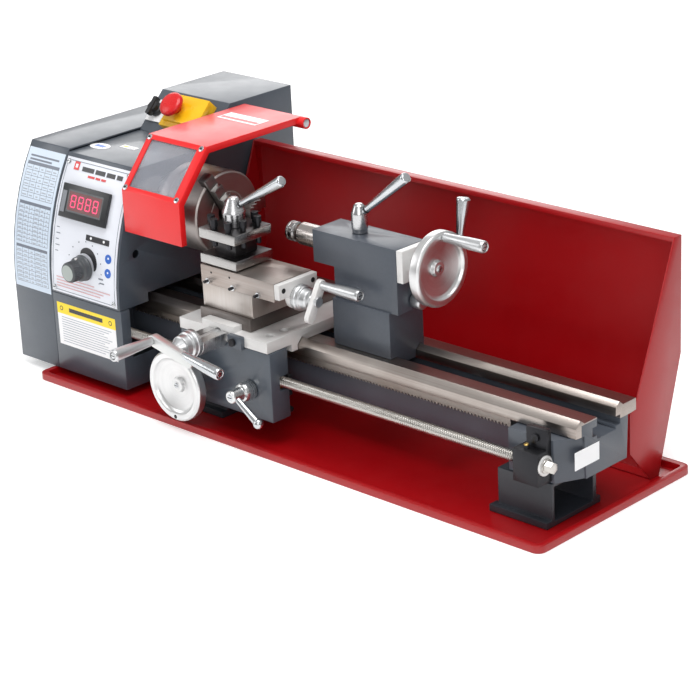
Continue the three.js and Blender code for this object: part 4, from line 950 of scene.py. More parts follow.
def graduations(
    name, origin, direction, radius, along, count, body, material=BLACK_INK, long=2.4, short=1.4
):
    """Short dark lines round a dial: every fifth one longer. Each is a thin block at its angle."""
    d, side, other = frame_about(direction)
    t = np.arange(count) * 2 * np.pi / count
    out = np.cos(t)[:, None] * side + np.sin(t)[:, None] * other
    tangent = -np.sin(t)[:, None] * side + np.cos(t)[:, None] * other
    reach = np.where(np.arange(count) % 5 == 0, long, short) * MM
    corners = []
    for a, b, c in (
        (0, -1, -1), (0, 1, -1), (0, 1, 1), (0, -1, 1), (1, -1, -1), (1, 1, -1), (1, 1, 1), (1, -1, 1)
    ):
        lengthwise = along * MM + a * reach
        corners.append(
            origin + d * lengthwise[:, None] + tangent * b * 0.14 * MM + out * (radius + 0.03 * c) * MM
        )
    points = np.stack(corners, 1).reshape(-1, 3)
    box = np.array([[0, 1, 2, 3], [7, 6, 5, 4], [0, 4, 5, 1], [1, 5, 6, 2], [2, 6, 7, 3], [3, 7, 4, 0]])
    faces = (np.arange(count)[:, None, None] * 8 + box[None]).reshape(-1, 4)
    settle(mesh_of(name, points, faces), material, body)


graduations("cross_graduations", dial_at, (0, -1, 0), 16.0, 0.6, 40, crank_body)
graduations("barrel_mark", start, (0, -1, 0), 16.0, span - 4, 1, "carriage", long=3.6)

# %% Compound slide's crank
crank_body = body_of["compound_crank"]
plate_right = high("compound_end_plate")[0]
axis_c = at(0, -53, 57.5)
face_c = np.array([plate_right + 0.3 * MM, axis_c[1], axis_c[2]])
COMPOUND_ALLOY = alloy_about("compound crank alloy", "x", axis_c, (0.64, 0.65, 0.66), 0.34)
dial = turned("compound_dial", face_c, (1, 0, 0), [
    (3.9, -34), (3.9, -1), (3.9, 0), (15, 0), (15, 5), (14, 6), (14, 10), (12.2, 10.8), (11.2, 17.6),
    (10, 18.6), (6.4, 20), (6, 20.6), (6, 31), (0, 31), (0, -34), (3.9, -34),
], 96, 0.5)
settle(dial, COMPOUND_ALLOY, crank_body, ("compound_crank",), angle=35)
graduations("compound_graduations", face_c, (1, 0, 0), 15.0, 0.5, 40, crank_body)
t = np.linspace(-np.pi / 2, np.pi / 2, 17)
ends = np.concatenate([19.5 + 6 * np.cos(t), -19.5 - 6 * np.cos(t)]) * MM
across = np.concatenate([6 * np.sin(t), -6 * np.sin(t)]) * MM
outline = np.stack([axis_c[1] + across, axis_c[2] + ends], -1)
arm = carried("compound_arm", "x", outline, face_c[0] + 21 * MM, face_c[0] + 28 * MM, 1.2, 3)
turn_mesh(arm, axis_c, "x", -30)
settle(arm, PALE_CAST, crank_body, angle=40)
cap_screw(
    "compound_hub_nut", face_c + np.array([27.6 * MM, 0, 0]), (1, 0, 0), 4.2, 3.2, crank_body, POLISHED
)
root = middle("compound_handle")
root[0] = low("compound_handle")[0]
handle("compound_grip", root, (1, 0, 0), body_of["compound_handle"], ("compound_handle",), "x")

# %% [markdown]
# ## Tool post and levers
# The post is two satin plates with painted shade on their tops, round a black core, with eight tall screws.
# Levers are tapered bars set into turned hubs, with a dark ring where they meet.

# %% Tool post
post = body_of["tool_post"]
px, py = -99.0, -53.0
lo, hi = low("tool_post"), high("tool_post")
base = (lo[2] - WAY) / MM
plate_top = base + 41.5


def plate_with_top_shade():
    """Satin sides and a ground top face darkened by painted shade: the colour turns dark where the surface
    looks up.
    """
    f = Finish("tool post plate with painted top shade", metallic=1.0)
    normal = f.node("ShaderNodeNewGeometry", out="Normal")
    x, y, z = f.split(f.place())
    # painted shade: faces that look up are coloured dark, for how light falls on them
    up = f.split(normal)[2].step(0.75, 0.2)
    lines = f.noise(1.0, 4, f.join(x * 60.0, y * 60.0, z * 900.0), 0.6)
    cloud = f.noise(25, 4)
    tone = (cloud * 0.6 + lines * 0.4).step(0.5, 0.4)
    pale = f.mix(tone, (0.34, 0.33, 0.325), (0.48, 0.47, 0.46))
    dark = f.mix(tone, (0.060, 0.058, 0.062), (0.105, 0.10, 0.10))
    f.set(base_color=f.mix(up, pale, dark), roughness=0.25 + up * 0.08 + (lines - 0.5) * 0.16)
    f.bump(lines, 0.10, 0.05 * MM)
    return f.material


PLATE_TOP_SHADED = plate_with_top_shade()
half = 29
lower_plate = slab(
    "post_lower_plate", at(px - half, py - half, base), at(px + half, py + half, base + 11.5), 1.2
)
settle(lower_plate, PLATE_TOP_SHADED, post, ("tool_post",), angle=40)
upper_plate = slab(
    "post_upper_plate", at(px - half, py - half, plate_top - 12), at(px + half, py + half, plate_top), 1.2
)
settle(upper_plate, PLATE_TOP_SHADED, post, angle=40)
core = slab("post_core", at(px - 17, py - 17, base + 11.3), at(px + 17, py + 17, plate_top - 11.8), 0.8)
settle(core, BLACK_STEEL, post, angle=40)
for side in range(4):
    for place in (-9, 14):
        t = side * math.pi / 2
        x = px + math.cos(t) * (half - 6) - math.sin(t) * place
        y = py + math.sin(t) * (half - 6) + math.cos(t) * place
        shank = turned(
            f"post_shank_{side}_{place}", at(x, y, plate_top - 20), (0, 0, 1),
            [(0, 0), (2.6, 0), (3.2, 0.8), (3.2, 24.5), (0, 24.5)], 24, 0.3
        )
        settle(shank, BLACK_OXIDE, post, angle=40)
        cap_screw(f"post_screw_{side}_{place}", at(x, y, plate_top + 4), (0, 0, 1), 4.5, 8, post)


def lever(name, a, b, ra, rb, material, body, ring=True):
    """A tapered round bar from a to b with a softened end, and a dark ring at its root."""
    a, b = np.asarray(a, float), np.asarray(b, float)
    length = np.linalg.norm(b - a) / MM
    profile = [(0, -1.5), (ra, -1.5), (ra, 4), (rb, length - 2), (rb * 0.8, length), (0, length)]
    settle(turned(name, a, b - a, profile, 48, 1.6), material, body, angle=40)
    if ring:
        dark = [(ra, 9.2), (ra + 0.9, 9.2), (ra + 0.9, 11.2), (ra, 11.2), (ra, 9.2)]
        settle(turned(name + "_ring", a, b - a, dark, 40, 0.3), BLACK_OXIDE, body)


body = body_of["tool_post_lever"]
foot = at(px, py, plate_top + 0.3)
hub_finish = alloy_about("post hub alloy", "z", foot, (0.56, 0.56, 0.57), 0.26)
down = (low("tool_post_lever")[2] - foot[2]) / MM
hub = turned("post_hub", foot, (0, 0, 1), [
    (0, down), (6.3, down), (6.3, 0), (12.5, 0), (13.5, 16), (12.6, 18.5), (7, 31), (5.4, 33), (0, 34),
], 72, 0.8)
settle(hub, hub_finish, body, ("tool_post_lever",), angle=40)
lever(
    "post_lever_bar", at(px + 3, py, plate_top + 22.3), at(px + 78, py + 3, plate_top + 65.3), 3.5, 6.5,
    POLISHED, body
)

# %% Quill lock, clamp and half-nut levers
body = body_of["quill_lock_lever"]
lock_x = low("tailstock")[0] + 51 * MM
foot = np.array([lock_x, SPINDLE[1], high("tailstock")[2] + 0.3 * MM])
down = (low("quill_lock_lever")[2] - foot[2]) / MM
hub = turned("lock_hub", foot, (0, 0, 1), [
    (0, down), (5, down), (5, 0), (8.5, 0), (8.5, 3.8), (9.2, 4.6), (9.2, 22), (8.6, 24), (6, 31),
    (3.4, 33), (0, 33),
], 72, 0.7)
settle(
    hub, alloy_about("lock hub alloy", "z", foot, (0.56, 0.56, 0.57), 0.26), body, ("quill_lock_lever",),
    angle=40
)
lever(
    "lock_lever_bar", foot + np.array([3, 0, 22]) * MM, foot + np.array([73, 0, 76]) * MM, 3.5, 6.5,
    POLISHED, body
)

body = body_of["tailstock_clamp_lever"]
clamp_x = high("tailstock_end_plate")[0] / MM - 1
pivot = at(clamp_x, 4, 64)
inner = (low("tailstock_clamp_lever")[0] - pivot[0]) / MM
hub = turned(
    "clamp_hub", pivot, (1, 0, 0),
    [(0, inner), (6, inner), (6, -7.4), (9, -7.4), (9, 4.5), (7.5, 6), (0, 6)], 64, 0.7
)
settle(hub, alloy_about("clamp hub alloy", "x", pivot), body, ("tailstock_clamp_lever",), angle=40)
elbow, end = at(clamp_x, 72, 120), at(clamp_x, 80, 162)
lever("clamp_lower_bar", pivot, elbow, 5, 4.5, POLISHED, body, ring=False)
lever("clamp_upper_bar", elbow, end, 4.6, 8, POLISHED, body, ring=False)
t = np.linspace(0, np.pi, 13)
ball = turned("clamp_elbow", elbow, (0, 0, 1), np.stack([5 * np.sin(t), -5 * np.cos(t)], -1), 32, 0)
settle(ball, POLISHED, body, angle=60)

body = body_of["half_nut_lever"]
hub_at = at((low("half_nut_lever")[0]) / MM + 11, -97.3, -48)
hub = turned("half_nut_hub", hub_at, (0, -1, 0), [
    (0, -12.3), (5, -12.3), (5, 0), (11, 0), (11, 12), (10, 15.7), (7.5, 16.6), (7.5, 31), (6.5, 32.7),
    (0, 32.7),
], 64, 0.7)
settle(
    hub, alloy_about("half-nut hub alloy", "y", hub_at, (0.66, 0.67, 0.67), 0.28), body,
    ("half_nut_lever",), angle=40
)
tip = hub_at + np.array([37, -26.7, -24]) * MM
lever("half_nut_bar", hub_at + np.array([0, -25.7, 0]) * MM, tip, 3.6, 4.6, POLISHED, body, ring=False)
ball = turned("half_nut_ball", tip, (1, 0, 0), np.stack([6 * np.sin(t), -6 * np.cos(t)], -1), 36, 0)
settle(ball, POLISHED, body, angle=60)
slotted_screw("half_nut_end", hub_at + np.array([0, -32.5, 0]) * MM, (0, -1, 0), 4.0, body, POLISHED, 1.0)

# %% Quill and centre
nose = low("quill")[0]
line = SPINDLE.copy()
line[0] = nose
long = (high("quill")[0] - nose) / MM
quill = turned(
    "quill_round", line, (1, 0, 0),
    [(8, 0), (11, 0), (11.6, 0.8), (13, 5), (13, long), (8, long), (8, 0)], 96, 0.5
)
settle(quill, QUILL_STEEL, body_of["quill"], ("quill",), angle=35)
tip = (low("live_centre")[0] - nose) / MM
centre_finish = turned_metal("centre steel", (0.36, 0.35, 0.35), 0.22, "x", tuple(SPINDLE), 1500)
centre = turned("centre_round", line, (1, 0, 0), [
    (0, tip), (0.5, tip + 0.4), (3.5, tip + 6), (8.4, tip + 7), (9.4, tip + 8), (11.5, tip + 9.4),
    (11.5, -11), (11.2, -10.6), (11.2, -9.6), (11.5, -9.2),
    (11.5, -4), (9, -2), (7.6, -2), (7.2, 38), (0, 38),
], 96, 0.35)
settle(centre, centre_finish, body_of["live_centre"], ("live_centre",), angle=35)
print("tool post, levers and tailstock centre made")

# %% [markdown]
# ## Headstock panel
# Everything printed follows the leaning front: its points are laid on the arc and lifted a fraction of a
# millimetre. Lettering is left as plain bars.

# %% Printed shapes on the arc
panel_lift = (HEAD_FRONT - low("control_panel")[1]) / MM


def on_front(x_mm, z_mm, lift):
    """Points on the headstock's arc from arrays of x and z in millimetres, lifted outward."""
    x, z = np.broadcast_arrays(np.asarray(x_mm, float) * MM, np.asarray(z_mm, float) * MM)
    return np.stack([x, front_at(z) - lift * MM, z], -1)


def strip(name, x0, x1, z0, z1, material, lift=0.12, body="frame", over=None):
    """A printed rectangle that follows the arc: rows of points from z0 to z1."""
    base = panel_lift if over is None else over
    rows = max(2, int(abs(z1 - z0) / 4) + 2)
    grid = on_front(np.array([[x0, x1]]), np.linspace(z0, z1, rows)[:, None], base + lift)
    return settle(pad(name, grid, np.array([0, (lift + 0.05) * MM, 0])), material, body)


def disc(name, x, z, radius, material, lift=0.12, thick=0.1, body="frame", over=None):
    """A printed disc square to the arc at its centre."""
    base = panel_lift if over is None else over
    n = front_normal(z * MM)
    centre = on_front(x, z, 0) + n * (base + lift - thick - 0.05) * MM
    obj = turned(name, centre, n, [(0, 0), (radius, 0), (radius, thick + 0.05), (0, thick + 0.05)], 40, 0)
    return settle(obj, material, body)


def arc_band(name, x, z, r0, r1, a0, a1, material, lift=0.14):
    """A band between two radii from angle a0 to a1, wider in its middle."""
    t = np.radians(np.linspace(a0, a1, 25))[None]
    swell = np.sin((t - t.min()) / (t.max() - t.min()) * np.pi) ** 0.6
    r = np.concatenate([np.full_like(t, r0), r0 + (r1 - r0) * (0.15 + 0.85 * swell)])
    grid = on_front(x + r * np.cos(t), z + r * np.sin(t), panel_lift + lift)
    return settle(pad(name, grid, np.array([0, (lift + 0.05) * MM, 0])), material, "frame")


L, Rr = HEAD_LEFT / MM + 3, HEAD_RIGHT / MM - 3
B, T = low("control_panel")[2] / MM, high("control_panel")[2] / MM
for name, box in {
    "border_left": (L + 2.6, L + 3.2, B + 2.6, T - 2.6),
    "border_right": (Rr - 3.2, Rr - 2.6, B + 2.6, T - 2.6),
    "border_low": (L + 2.6, Rr - 2.6, B + 2.6, B + 3.2),
    "border_top": (L + 2.6, Rr - 2.6, T - 3.2, T - 2.6),
}.items():
    strip(name, *box, GREY_INK)
for i, (x, z) in enumerate(((L + 5, B + 5), (Rr - 5, B + 5), (L + 5, T - 5), (Rr - 5, T - 5))):
    base = on_front(x, z, panel_lift)
    slotted_screw(f"panel_screw_{i}", base, front_normal(z * MM), 3.4, "frame", POLISHED, 1.3)
for i, (x0, x1) in enumerate(((-347, -326), (-323, -306), (-303, -288), (-285, -275))):
    strip(f"heading_{i}", x0, x1, 257.8, 262.6, BLACK_INK)
for i, (x0, x1) in enumerate(((-334, -322), (-320, -312), (-310, -302))):
    strip(f"subheading_{i}", x0, x1, 252.4, 254.8, RED_INK)
strip("heading_mark", -362, -353, 257.5, 266.5, RED_INK)
strip("heading_mark_inner", -359.5, -355.5, 260, 264, PANEL_FILM, 0.2)
strip("strip_black", -317, -276, 185, 191.5, BLACK_INK, 0.6)
for i, x in enumerate((-308, -285)):
    disc(f"strip_dot_{i}", x, 188.2, 1.7, WHITE_FILM, 0.75, 0.15)
for i, z in enumerate((163, 170, 177, 184, 191)):
    strip(f"scale_mark_{i}", -371, -366 + (i % 2) * 2, z, z + 0.8, GREY_INK)
arc_band("scale_band", -317, 152.6, 16.5, 25, -5, 118, BLACK_INK)
for i, a in enumerate(range(-30, 211, 24)):
    x, z = -317 + 30 * math.cos(math.radians(a)), 152.6 + 30 * math.sin(math.radians(a))
    disc(f"scale_dot_{i}", x, z, 0.8, GREY_INK)
for i, z in enumerate((170, 153)):
    disc(f"advice_{i}", -275.5, z, 5.6, BLUE_INK)
    disc(f"advice_{i}_inner", -275.5, z + 0.8, 1.3, WHITE_FILM, 0.2)
FAINT_RED = printed("faint red ink", (0.62, 0.38, 0.40))
for i, (z, x1) in enumerate(((131, -300), (127.2, -272), (123.4, -284), (119.8, -290))):
    strip(f"note_{i}", -369, x1, z, z + 1.3, FAINT_RED)
for i, (x0, x1, z) in enumerate(((-292, -284, 143), (-290, -282, 138))):
    strip(f"knob_note_{i}", x0, x1, z, z + 1.6, GREY_INK)

# %% Display, knob
disp_lo, disp_hi = low("speed_display"), high("speed_display")
z0, z1 = disp_lo[2] / MM + 1.5, disp_hi[2] / MM
flat = np.array([v.co[:] for v in frame["nodes"]["speed_display"].data.vertices])
bottom_y = flat[flat[:, 2] < disp_lo[2] + 2 * MM][:, 1].min()
top_y = flat[flat[:, 2] > disp_hi[2] - 0.2 * MM][:, 1].min()


def on_display(x_mm, z_mm, lift):
    """Points on the display's flat tilted face."""
    x, z = np.broadcast_arrays(np.asarray(x_mm, float) * MM, np.asarray(z_mm, float) * MM)
    share = (z - z0 * MM) / ((z1 - z0) * MM)
    return np.stack([x, bottom_y + (top_y - bottom_y) * share - lift * MM, z], -1)


def display_pad(name, x0, x1, za, zb, material, lift):
    grid = on_display(np.array([[x0, x1]]), np.array([[za], [zb]]), lift)
    return settle(pad(name, grid, np.array([0, 0.25 * MM, 0])), material, "frame")


FRAME_GREY = plastic("display inner frame", (0.06, 0.065, 0.07), 0.3)
display_pad("display_frame", -354, -292, 213.5, 238.5, FRAME_GREY, 0.2)
display_pad("display_film", -352, -294, 215.5, 236.5, DIGIT_OFF, 0.35)
display_pad("display_strip", -364.4, -357, 212, 236, GREY_PLASTIC, 0.25)
SEGMENTS = {
    "a": (0.12, 0.88, 0.92, 1.0), "g": (0.12, 0.88, 0.46, 0.54), "d": (0.12, 0.88, 0.0, 0.08),
    "f": (0.0, 0.14, 0.54, 0.94), "b": (0.86, 1.0, 0.54, 0.94), "e": (0.0, 0.14, 0.06, 0.46),
    "c": (0.86, 1.0, 0.06, 0.46),
}
for i in range(4):
    x = -347.5 + i * 13.2
    for key, (u0, u1, v0, v1) in SEGMENTS.items():
        display_pad(
            f"figure_{i}_{key}", x + 9 * u0, x + 9 * u1, 219 + 14 * v0, 219 + 14 * v1, DIGIT_RED, 0.5
        )

body = body_of["speed_knob"]
knob_at = middle("speed_knob")
knob_at[1] = high("speed_knob")[1]
knob_long = (high("speed_knob")[1] - low("speed_knob")[1]) / MM
KNOB_GREY = plastic("knob grey plastic", (0.060, 0.066, 0.072), 0.42)
KNOB_FACE = plastic("knob pale cap", (0.36, 0.40, 0.38), 0.45)
knob = turned("knob_round", knob_at, (0, -1, 0), [
    (0, 0), (16, 0), (16, 1.6), (15.1, 3), (15, knob_long - 17), (12.4, knob_long - 15.6),
    (12, knob_long - 14), (12, knob_long - 2), (10.6, knob_long - 0.4), (0, knob_long - 0.4),
], 96, 0.6)
settle(knob, KNOB_GREY, body, ("speed_knob",), angle=35)
cap = turned(
    "knob_cap", knob_at - np.array([0, (knob_long - 0.6) * MM, 0]), (0, -1, 0),
    [(0, 0), (9.8, 0), (9.4, 0.5), (0, 0.5)], 64, 0.2
)
settle(cap, KNOB_FACE, body, angle=40)
ribs = []
for angle in np.linspace(0, 360, 30, endpoint=False):
    rib = slab(
        "rib", knob_at + np.array([-0.45, -(knob_long - 3), 11.8]) * MM,
        knob_at + np.array([0.45, -(knob_long - 13.5), 12.5]) * MM, 0.15
    )
    ribs.append(turn_mesh(rib, knob_at, "y", angle))
settle(joined("knob_ribs", *ribs), KNOB_GREY, body, angle=40)
mark = slab(
    "knob_mark", knob_at + np.array([-0.6, -(knob_long - 13.4), 12.6]) * MM,
    knob_at + np.array([0.6, -(knob_long - 16.8), 14.6]) * MM, 0.1
)
settle(mark, WHITE_FILM, body, angle=40)

# %% Labels on the covers
CAUTION_LEFT, CAUTION_RIGHT = -374, -268
CAUTION_FOOT, CAUTION_SPLIT, CAUTION_TOP = 44, 84, 98
strip("caution_film", CAUTION_LEFT, CAUTION_RIGHT, CAUTION_SPLIT, CAUTION_TOP, YELLOW_FILM, 0.15, over=0)
strip("caution_body", CAUTION_LEFT, CAUTION_RIGHT, CAUTION_FOOT, CAUTION_SPLIT, WHITE_FILM, 0.15, over=0)
LINE_STEP, LINE_ENDS = 3.1, (-276, -281, -290, -284)
for i in range(11):
    z = 79.5 - i * LINE_STEP
    strip(f"caution_line_{i}", CAUTION_LEFT + 7, LINE_ENDS[i % 4], z, z + 0.9, PALE_INK, 0.22, over=0)
for i, x in enumerate((CAUTION_LEFT + 8, CAUTION_RIGHT - 9)):
    disc(f"caution_mark_{i}", x, 91, 3.0, BLACK_INK, 0.28, 0.1, over=0)
    disc(f"caution_mark_{i}_in", x, 91, 1.9, YELLOW_FILM, 0.34, 0.1, over=0)
strip("caution_bar", -352, -291, 88.4, 93.6, BLACK_INK, 0.24, over=0)

# %% Chart on the gear cover
CHART_LIFT, RULE = 0.2, 0.5
chart_left, chart_right = low("gear_cover")[0] / MM + 2.5, high("gear_cover")[0] / MM - 2
table_left, table_right = chart_left + 4, chart_right - 4
strip("chart_film", chart_left, chart_right, 104, 269.5, CHART_FILM, 0.12, over=0)
for i, (z, end) in enumerate(((262, 8), (258, 20))):
    strip(f"chart_title_{i}", chart_left + 6, chart_right - end, z - 2, z, GREY_INK, CHART_LIFT, over=0)


def chart_table(top, rows, cols, cell):
    """One ruled table: a header bar, lines a cell apart, and a short bar in each cell."""
    wide = (chart_right - chart_left - 8.5) / cols
    strip(f"chart_header_{top}", table_left, table_right, top + 0.4, top + 3.6, GREY_INK, 0.22, over=0)
    for r in range(rows + 1):
        z = top - r * cell
        strip(f"rule_{top}_{r}", table_left, table_right, z, z + RULE, GREY_INK, CHART_LIFT, over=0)
    for c in range(cols + 1):
        x = table_left + wide * c
        strip(f"column_{top}_{c}", x, x + RULE, top - rows * cell, top, GREY_INK, CHART_LIFT, over=0)
    for r, c in np.ndindex(rows, cols):
        x, z = table_left + wide * c, top - r * cell
        inset = 1.8 + (r * 3 + c) % 3
        name = f"entry_{top}_{r}_{c}"
        strip(name, x + inset, x + wide - inset, z - 4, z - 2.6, PALE_INK, CHART_LIFT, over=0)


for table in ((251, 6, 5, 6.2), (206, 9, 6, 5.0), (154, 8, 5, 5.4)):
    chart_table(*table)


# %% Labels on top
def top_label(name, x0, x1, y0, y1, z, material, thick=0.25):
    """A flat label lying on a level face."""
    grid = np.array([[[x, y, z + thick] for x in (x0, x1)] for y in (y0, y1)]) * MM
    return settle(pad(name, grid, np.array([0, 0, -(thick + 0.05) * MM])), material, "frame")


top_mm = HEAD_TOP / MM
t = np.linspace(0, 2 * np.pi, 48, endpoint=False)
oval = np.stack([-366 + 15 * np.cos(t), -24 + 10 * np.sin(t)], -1) * MM
round_label = carried("oval_label", "z", oval, (top_mm - 0.05) * MM, (top_mm + 0.25) * MM, 0)
settle(round_label, WHITE_FILM, "frame")
top_label("oval_label_mark", -374, -358, -27, -20, top_mm + 0.2, BLUE_INK, 0.12)
top_label("square_label", -345, -319, -12, -3, top_mm, WHITE_FILM)
top_label("square_label_bar", -343, -333, -9, -5.5, top_mm + 0.2, YELLOW_FILM, 0.12)
for i in range(3):
    top_label(
        f"square_label_line_{i}", -331, -321, -10.5 + i * 2.4, -9.8 + i * 2.4, top_mm + 0.2, GREY_INK,
        0.12
    )

# %% Stop switch
UP_SLOPE = np.array([0.0, math.sqrt(0.5), math.sqrt(0.5)])
OFF_SLOPE = np.array([0.0, -math.sqrt(0.5), math.sqrt(0.5)])
slope_foot = np.array([0.0, SPINDLE[1] + 60 * MM, HEAD_TOP])


def on_slope(x, up, lift):
    """A point on the rear box's face that leans back at 45 degrees: x, way up the face, way off it."""
    return slope_foot + np.array([x * MM, 0, 0]) + UP_SLOPE * up * MM + OFF_SLOPE * lift * MM


button = turned("stop_button_round", on_slope(-315, 28, 0), OFF_SLOPE, [
    (0, 12), (6, 12), (6, 28), (14, 29), (15.7, 31), (15.9, 34), (14.8, 36), (12, 37.6), (7, 38.6),
    (0, 39),
], 96, 0.7)
settle(button, RED_PLASTIC, body_of["stop_button"], ("stop_button",), angle=40)
plate = np.array([[on_slope(x, up, 2.4) for x in (-379, -353)] for up in (14, 44)])
settle(pad("switch_plate", plate, -OFF_SLOPE * 2.1 * MM), WHITE_FILM, "frame")

# %% Guard screws and label
GUARD_OUT = np.array([0.0, -0.756, 0.654])
SLOPE_FOOT, SLOPE_RISE = np.array([-82, 143]), np.array([48, 55.5])
GUARD_TOP = 198.5
guard_body = body_of["chuck_guard"]
for i, (x, share) in enumerate(((-251, 0.05), (-251, 0.95), (-164, 0.05), (-164, 0.95))):
    spot = at(x, *(SLOPE_FOOT + SLOPE_RISE * share))
    washer = turned(
        f"guard_washer_{i}", spot - GUARD_OUT * 0.3 * MM, GUARD_OUT,
        [(0, 0), (3.6, 0), (3.6, 1.1), (0, 1.4)], 32, 0.3
    )
    settle(washer, POLISHED, guard_body)
    dark = turned(f"guard_screw_{i}", spot, GUARD_OUT, [(0, 0.4), (1.5, 0.4), (1.5, 1.5), (0, 1.5)], 6, 0)
    settle(dark, SOCKET_DARK, guard_body)
label = np.array([[at(x, y, GUARD_TOP + 0.2) for x in (-240, -176)] for y in (60, 84)])
settle(pad("guard_label", label, np.array([0, 0, -0.25 * MM])), WHITE_FILM, guard_body)
label = np.array([[at(x, y, GUARD_TOP + 0.35) for x in (-238, -178)] for y in (64, 70)])
settle(pad("guard_label_stripe", label, np.array([0, 0, -0.2 * MM])), RED_INK, guard_body)
print("panel and labels laid")

# %% [markdown]
# ## Fastenings
# Screws hold the gib strips, the end plate, the apron and the leadscrew bracket. Each stands on a face
# of the piece it fastens; its place along that face is a measure in millimetres.

# %% Screws
compound = body_of["compound_slide"]
side = low("compound_slide")[1]
SCREW_ROW, PIN_ROW, END_ROW = 175 * MM, 185.5 * MM, 184.5 * MM
for i, x in enumerate((-115.5, -75, -35)):
    spot = np.array([x * MM, side, SCREW_ROW])
    nut = turned(f"gib_nut_{i}", spot, (0, -1, 0), [(0, -0.3), (3.6, -0.3), (3.6, 2.4), (0, 2.4)], 6, 0.2)
    settle(nut, POLISHED, compound)
    shank = turned(
        f"gib_shank_{i}", spot, (0, -1, 0), [(0, 0), (1.8, 0), (1.8, 7), (1.4, 7.6), (0, 7.6)], 20, 0.2
    )
    settle(shank, BLACK_OXIDE, compound)
for i, x in enumerate((-110.5, -81)):
    spot = np.array([x * MM, side, PIN_ROW])
    pit = turned(
        f"gib_pin_{i}", spot, (0, -1, 0), [(0, -0.3), (1.3, -0.3), (1.3, 0.15), (0, 0.15)], 20, 0
    )
    settle(pit, SOCKET_DARK, compound)
plate_face = high("compound_end_plate")[0]
for i, y in enumerate((-83.5, -37.5)):
    spot = np.array([plate_face, y * MM, END_ROW])
    pit = turned(
        f"end_plate_screw_{i}", spot, (1, 0, 0), [(0, -0.3), (3.0, -0.3), (3.0, 0.2), (0, 0.2)], 32, 0
    )
    settle(pit, SOCKET_DARK, compound)
apron_side = high("apron")[0]
for i, z in enumerate((78, 58, 38)):
    cap_screw(
        f"apron_screw_{i}", (apron_side - 4 * MM, high("apron")[1] + 0.2 * MM, z * MM), (0, 1, 0), 3.6, 5,
        "carriage"
    )
hole_x = high("saddle")[0] - 15 * MM
for i, y in enumerate((-78, -56)):
    pit = turned(
        f"saddle_hole_{i}", (hole_x, SPINDLE[1] + y * MM, WAY - 0.5 * MM), (0, 0, 1),
        [(0, 0), (4.9, 0), (4.9, 1), (0, 1)], 32, 0
    )
    settle(pit, SOCKET_DARK, "carriage")
lock = slab(
    "carriage_lock", (-69 * MM, low("saddle")[1] - 5.5 * MM, 112 * MM),
    (-47 * MM, low("saddle")[1] + 1 * MM, 127 * MM), 0.9
)
settle(lock, GREY_PAINT, "carriage")
cap_screw(
    "carriage_lock_screw", (-60 * MM, low("saddle")[1] - 5.5 * MM, 119.5 * MM), (0, -1, 0), 4.6, 3.4,
    "carriage"
)
bracket_lo, bracket_hi = low("leadscrew_bracket"), high("leadscrew_bracket")
cap_screw(
    "bracket_screw", (bracket_hi[0] - 13 * MM, SPINDLE[1] - 72 * MM, WAY - 12 * MM), (0, -1, 0), 4.2, 2.6,
    "frame"
)
oiler_at = (bracket_lo[0] + 12 * MM, SPINDLE[1] - 78 * MM, WAY - 20.2 * MM)
oiler = turned("bracket_oiler", oiler_at, (0, 0, 1), [
    (0, -0.3), (2.9, -0.3), (2.9, 0.8), (2.2, 1.3), (1.1, 1.0), (0, 0.9),
], 32, 0.2)
settle(oiler, BRASS, "frame")
collar = turned("bracket_collar", (bracket_hi[0] - 0.2 * MM, screw_at[1], screw_at[2]), (1, 0, 0), [
    (7.2, 0), (11, 0), (11, 1.6), (10.2, 2.2), (7.2, 2.2), (7.2, 0),
], 48, 0.3)
settle(collar, PALE_CAST, "frame")
bed_end = high("bed")[0]
end_label = np.array([[[bed_end + 0.2 * MM, y * MM, z * MM] for y in (-60, -20)] for z in (66, 86)])
settle(pad("bed_end_label", end_label, np.array([-0.3 * MM, 0, 0])), WHITE_FILM, "frame")
print("fastenings placed")

# %% [markdown]
# ## Camera, floor and light
# A long lens from the front right and a little above, as such a machine is usually shown, over a pale
# floor. One large soft light hangs above, weaker ones stand in front and at the left, and one behind is
# mirrored in the level tops. The surround is darker near the horizon, so that metal has an edge to mirror.

# %% Camera
EYE = np.array([1.7732, -1.7920, 1.0688])
AZIMUTH, ELEVATION, ROLL = (math.radians(v) for v in (44.48, 21.24, -2.76))


def camera_axes(azimuth, elevation, roll):
    """Right, up and back of a camera turned by azimuth, raised by elevation and rolled about its view."""
    back = np.array(
        [
            math.sin(azimuth) * math.cos(elevation), -math.cos(azimuth) * math.cos(elevation),
            math.sin(elevation)
        ]
    )
    right = np.array([math.cos(azimuth), math.sin(azimuth), 0.0])
    up = np.cross(back, right)
    turned_right = math.cos(roll) * right + math.sin(roll) * up
    return turned_right, np.cross(back, turned_right), back


camera = bpy.data.objects.new("camera", bpy.data.cameras.new("camera"))
bpy.context.scene.collection.objects.link(camera)
axes = camera_axes(AZIMUTH, ELEVATION, ROLL)
matrix = Matrix.Identity(4)
for column, vector in enumerate((*axes, EYE)):
    for row in range(3):
        matrix[row][column] = float(vector[row])
camera.matrix_world = matrix
camera.data.lens = 122.6
camera.data.sensor_width = 36
camera.data.clip_end = 20
bpy.context.scene.camera = camera


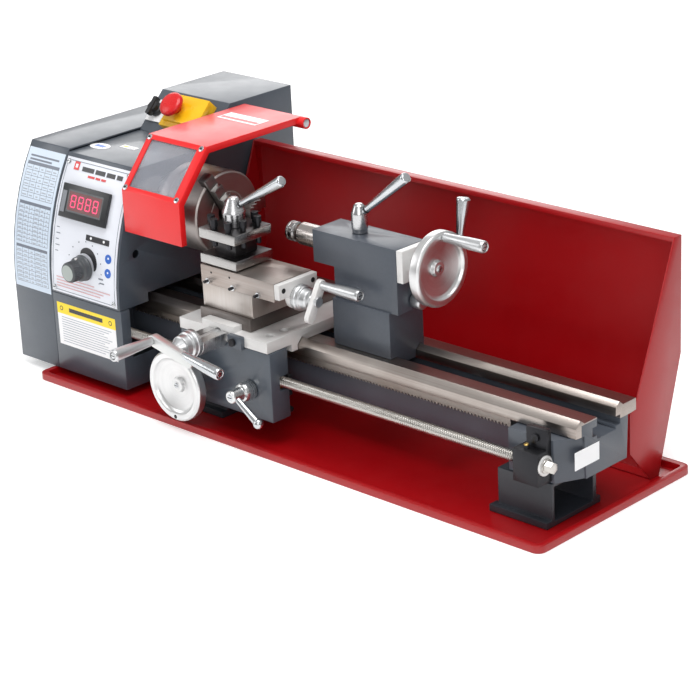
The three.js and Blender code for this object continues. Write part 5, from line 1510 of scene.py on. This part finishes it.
# %% Floor and lights
def area_light(name, place, target, size, power, tint=(1, 1, 1)):
    light = bpy.data.lights.new(name, "AREA")
    light.shape, light.size, light.energy, light.color = "DISK", size, power, tint
    obj = bpy.data.objects.new(name, light)
    bpy.context.scene.collection.objects.link(obj)
    d = np.array(place, float) - np.array(target, float)
    obj.location = place
    obj.rotation_euler = Vector(d.tolist()).to_track_quat("Z", "Y").to_euler()


def surround(strength):
    """A pale surround that is darker near the horizon, so that bright metal has something to mirror."""
    world = bpy.data.worlds.new("studio")
    world.use_nodes = True
    tree = world.node_tree
    place = tree.nodes.new("ShaderNodeTexCoord")
    split = tree.nodes.new("ShaderNodeSeparateXYZ")
    ramp = tree.nodes.new("ShaderNodeValToRGB")
    tree.links.new(place.outputs["Generated"], split.inputs[0])
    scaled = tree.nodes.new("ShaderNodeMath")
    scaled.operation = "MULTIPLY_ADD"
    scaled.inputs[1].default_value = scaled.inputs[2].default_value = 0.5
    tree.links.new(split.outputs[2], scaled.inputs[0])
    tree.links.new(scaled.outputs[0], ramp.inputs[0])
    for i, (height, grey) in enumerate(((0.30, 0.75), (0.47, 0.30), (0.56, 0.35), (0.72, 1.0))):
        stop = ramp.color_ramp.elements[i] if i < 2 else ramp.color_ramp.elements.new(height)
        stop.position, stop.color = height, (grey, grey, grey, 1.0)
    background = tree.nodes["Background"]
    tree.links.new(ramp.outputs[0], background.inputs[0])
    background.inputs[1].default_value = strength
    bpy.context.scene.world = world


area_light("top softbox", (0.3, -0.3, 2.2), (0, 0, 0.1), 1.6, 34)
area_light("front softbox", (1.6, -2.0, 1.2), (0, 0, 0.1), 1.4, 15)
area_light("left softbox", (-1.8, -1.4, 1.0), (-0.2, 0, 0.15), 1.2, 9)
area_light("rear softbox", (-2.0, 2.0, 1.35), (0, 0, 0.2), 2.2, 25)
surround(0.56)
bpy.context.scene.view_settings.view_transform = "Standard"

floor = mesh_of("floor", [(-6, -6, 0), (6, -6, 0), (6, 6, 0), (-6, 6, 0)], [(0, 1, 2, 3)])
bpy.context.scene.collection.objects.link(floor)
floor_finish = Finish("pale floor", roughness=0.7)
floor_finish.set(
    base_color=floor_finish.mix(floor_finish.noise(3, 2), (0.86, 0.86, 0.86), (0.90, 0.90, 0.90))
)
floor_finish.set(emission_color=(1.0, 1.0, 1.0), emission_strength=0.32)
floor.data.materials.append(floor_finish.material)
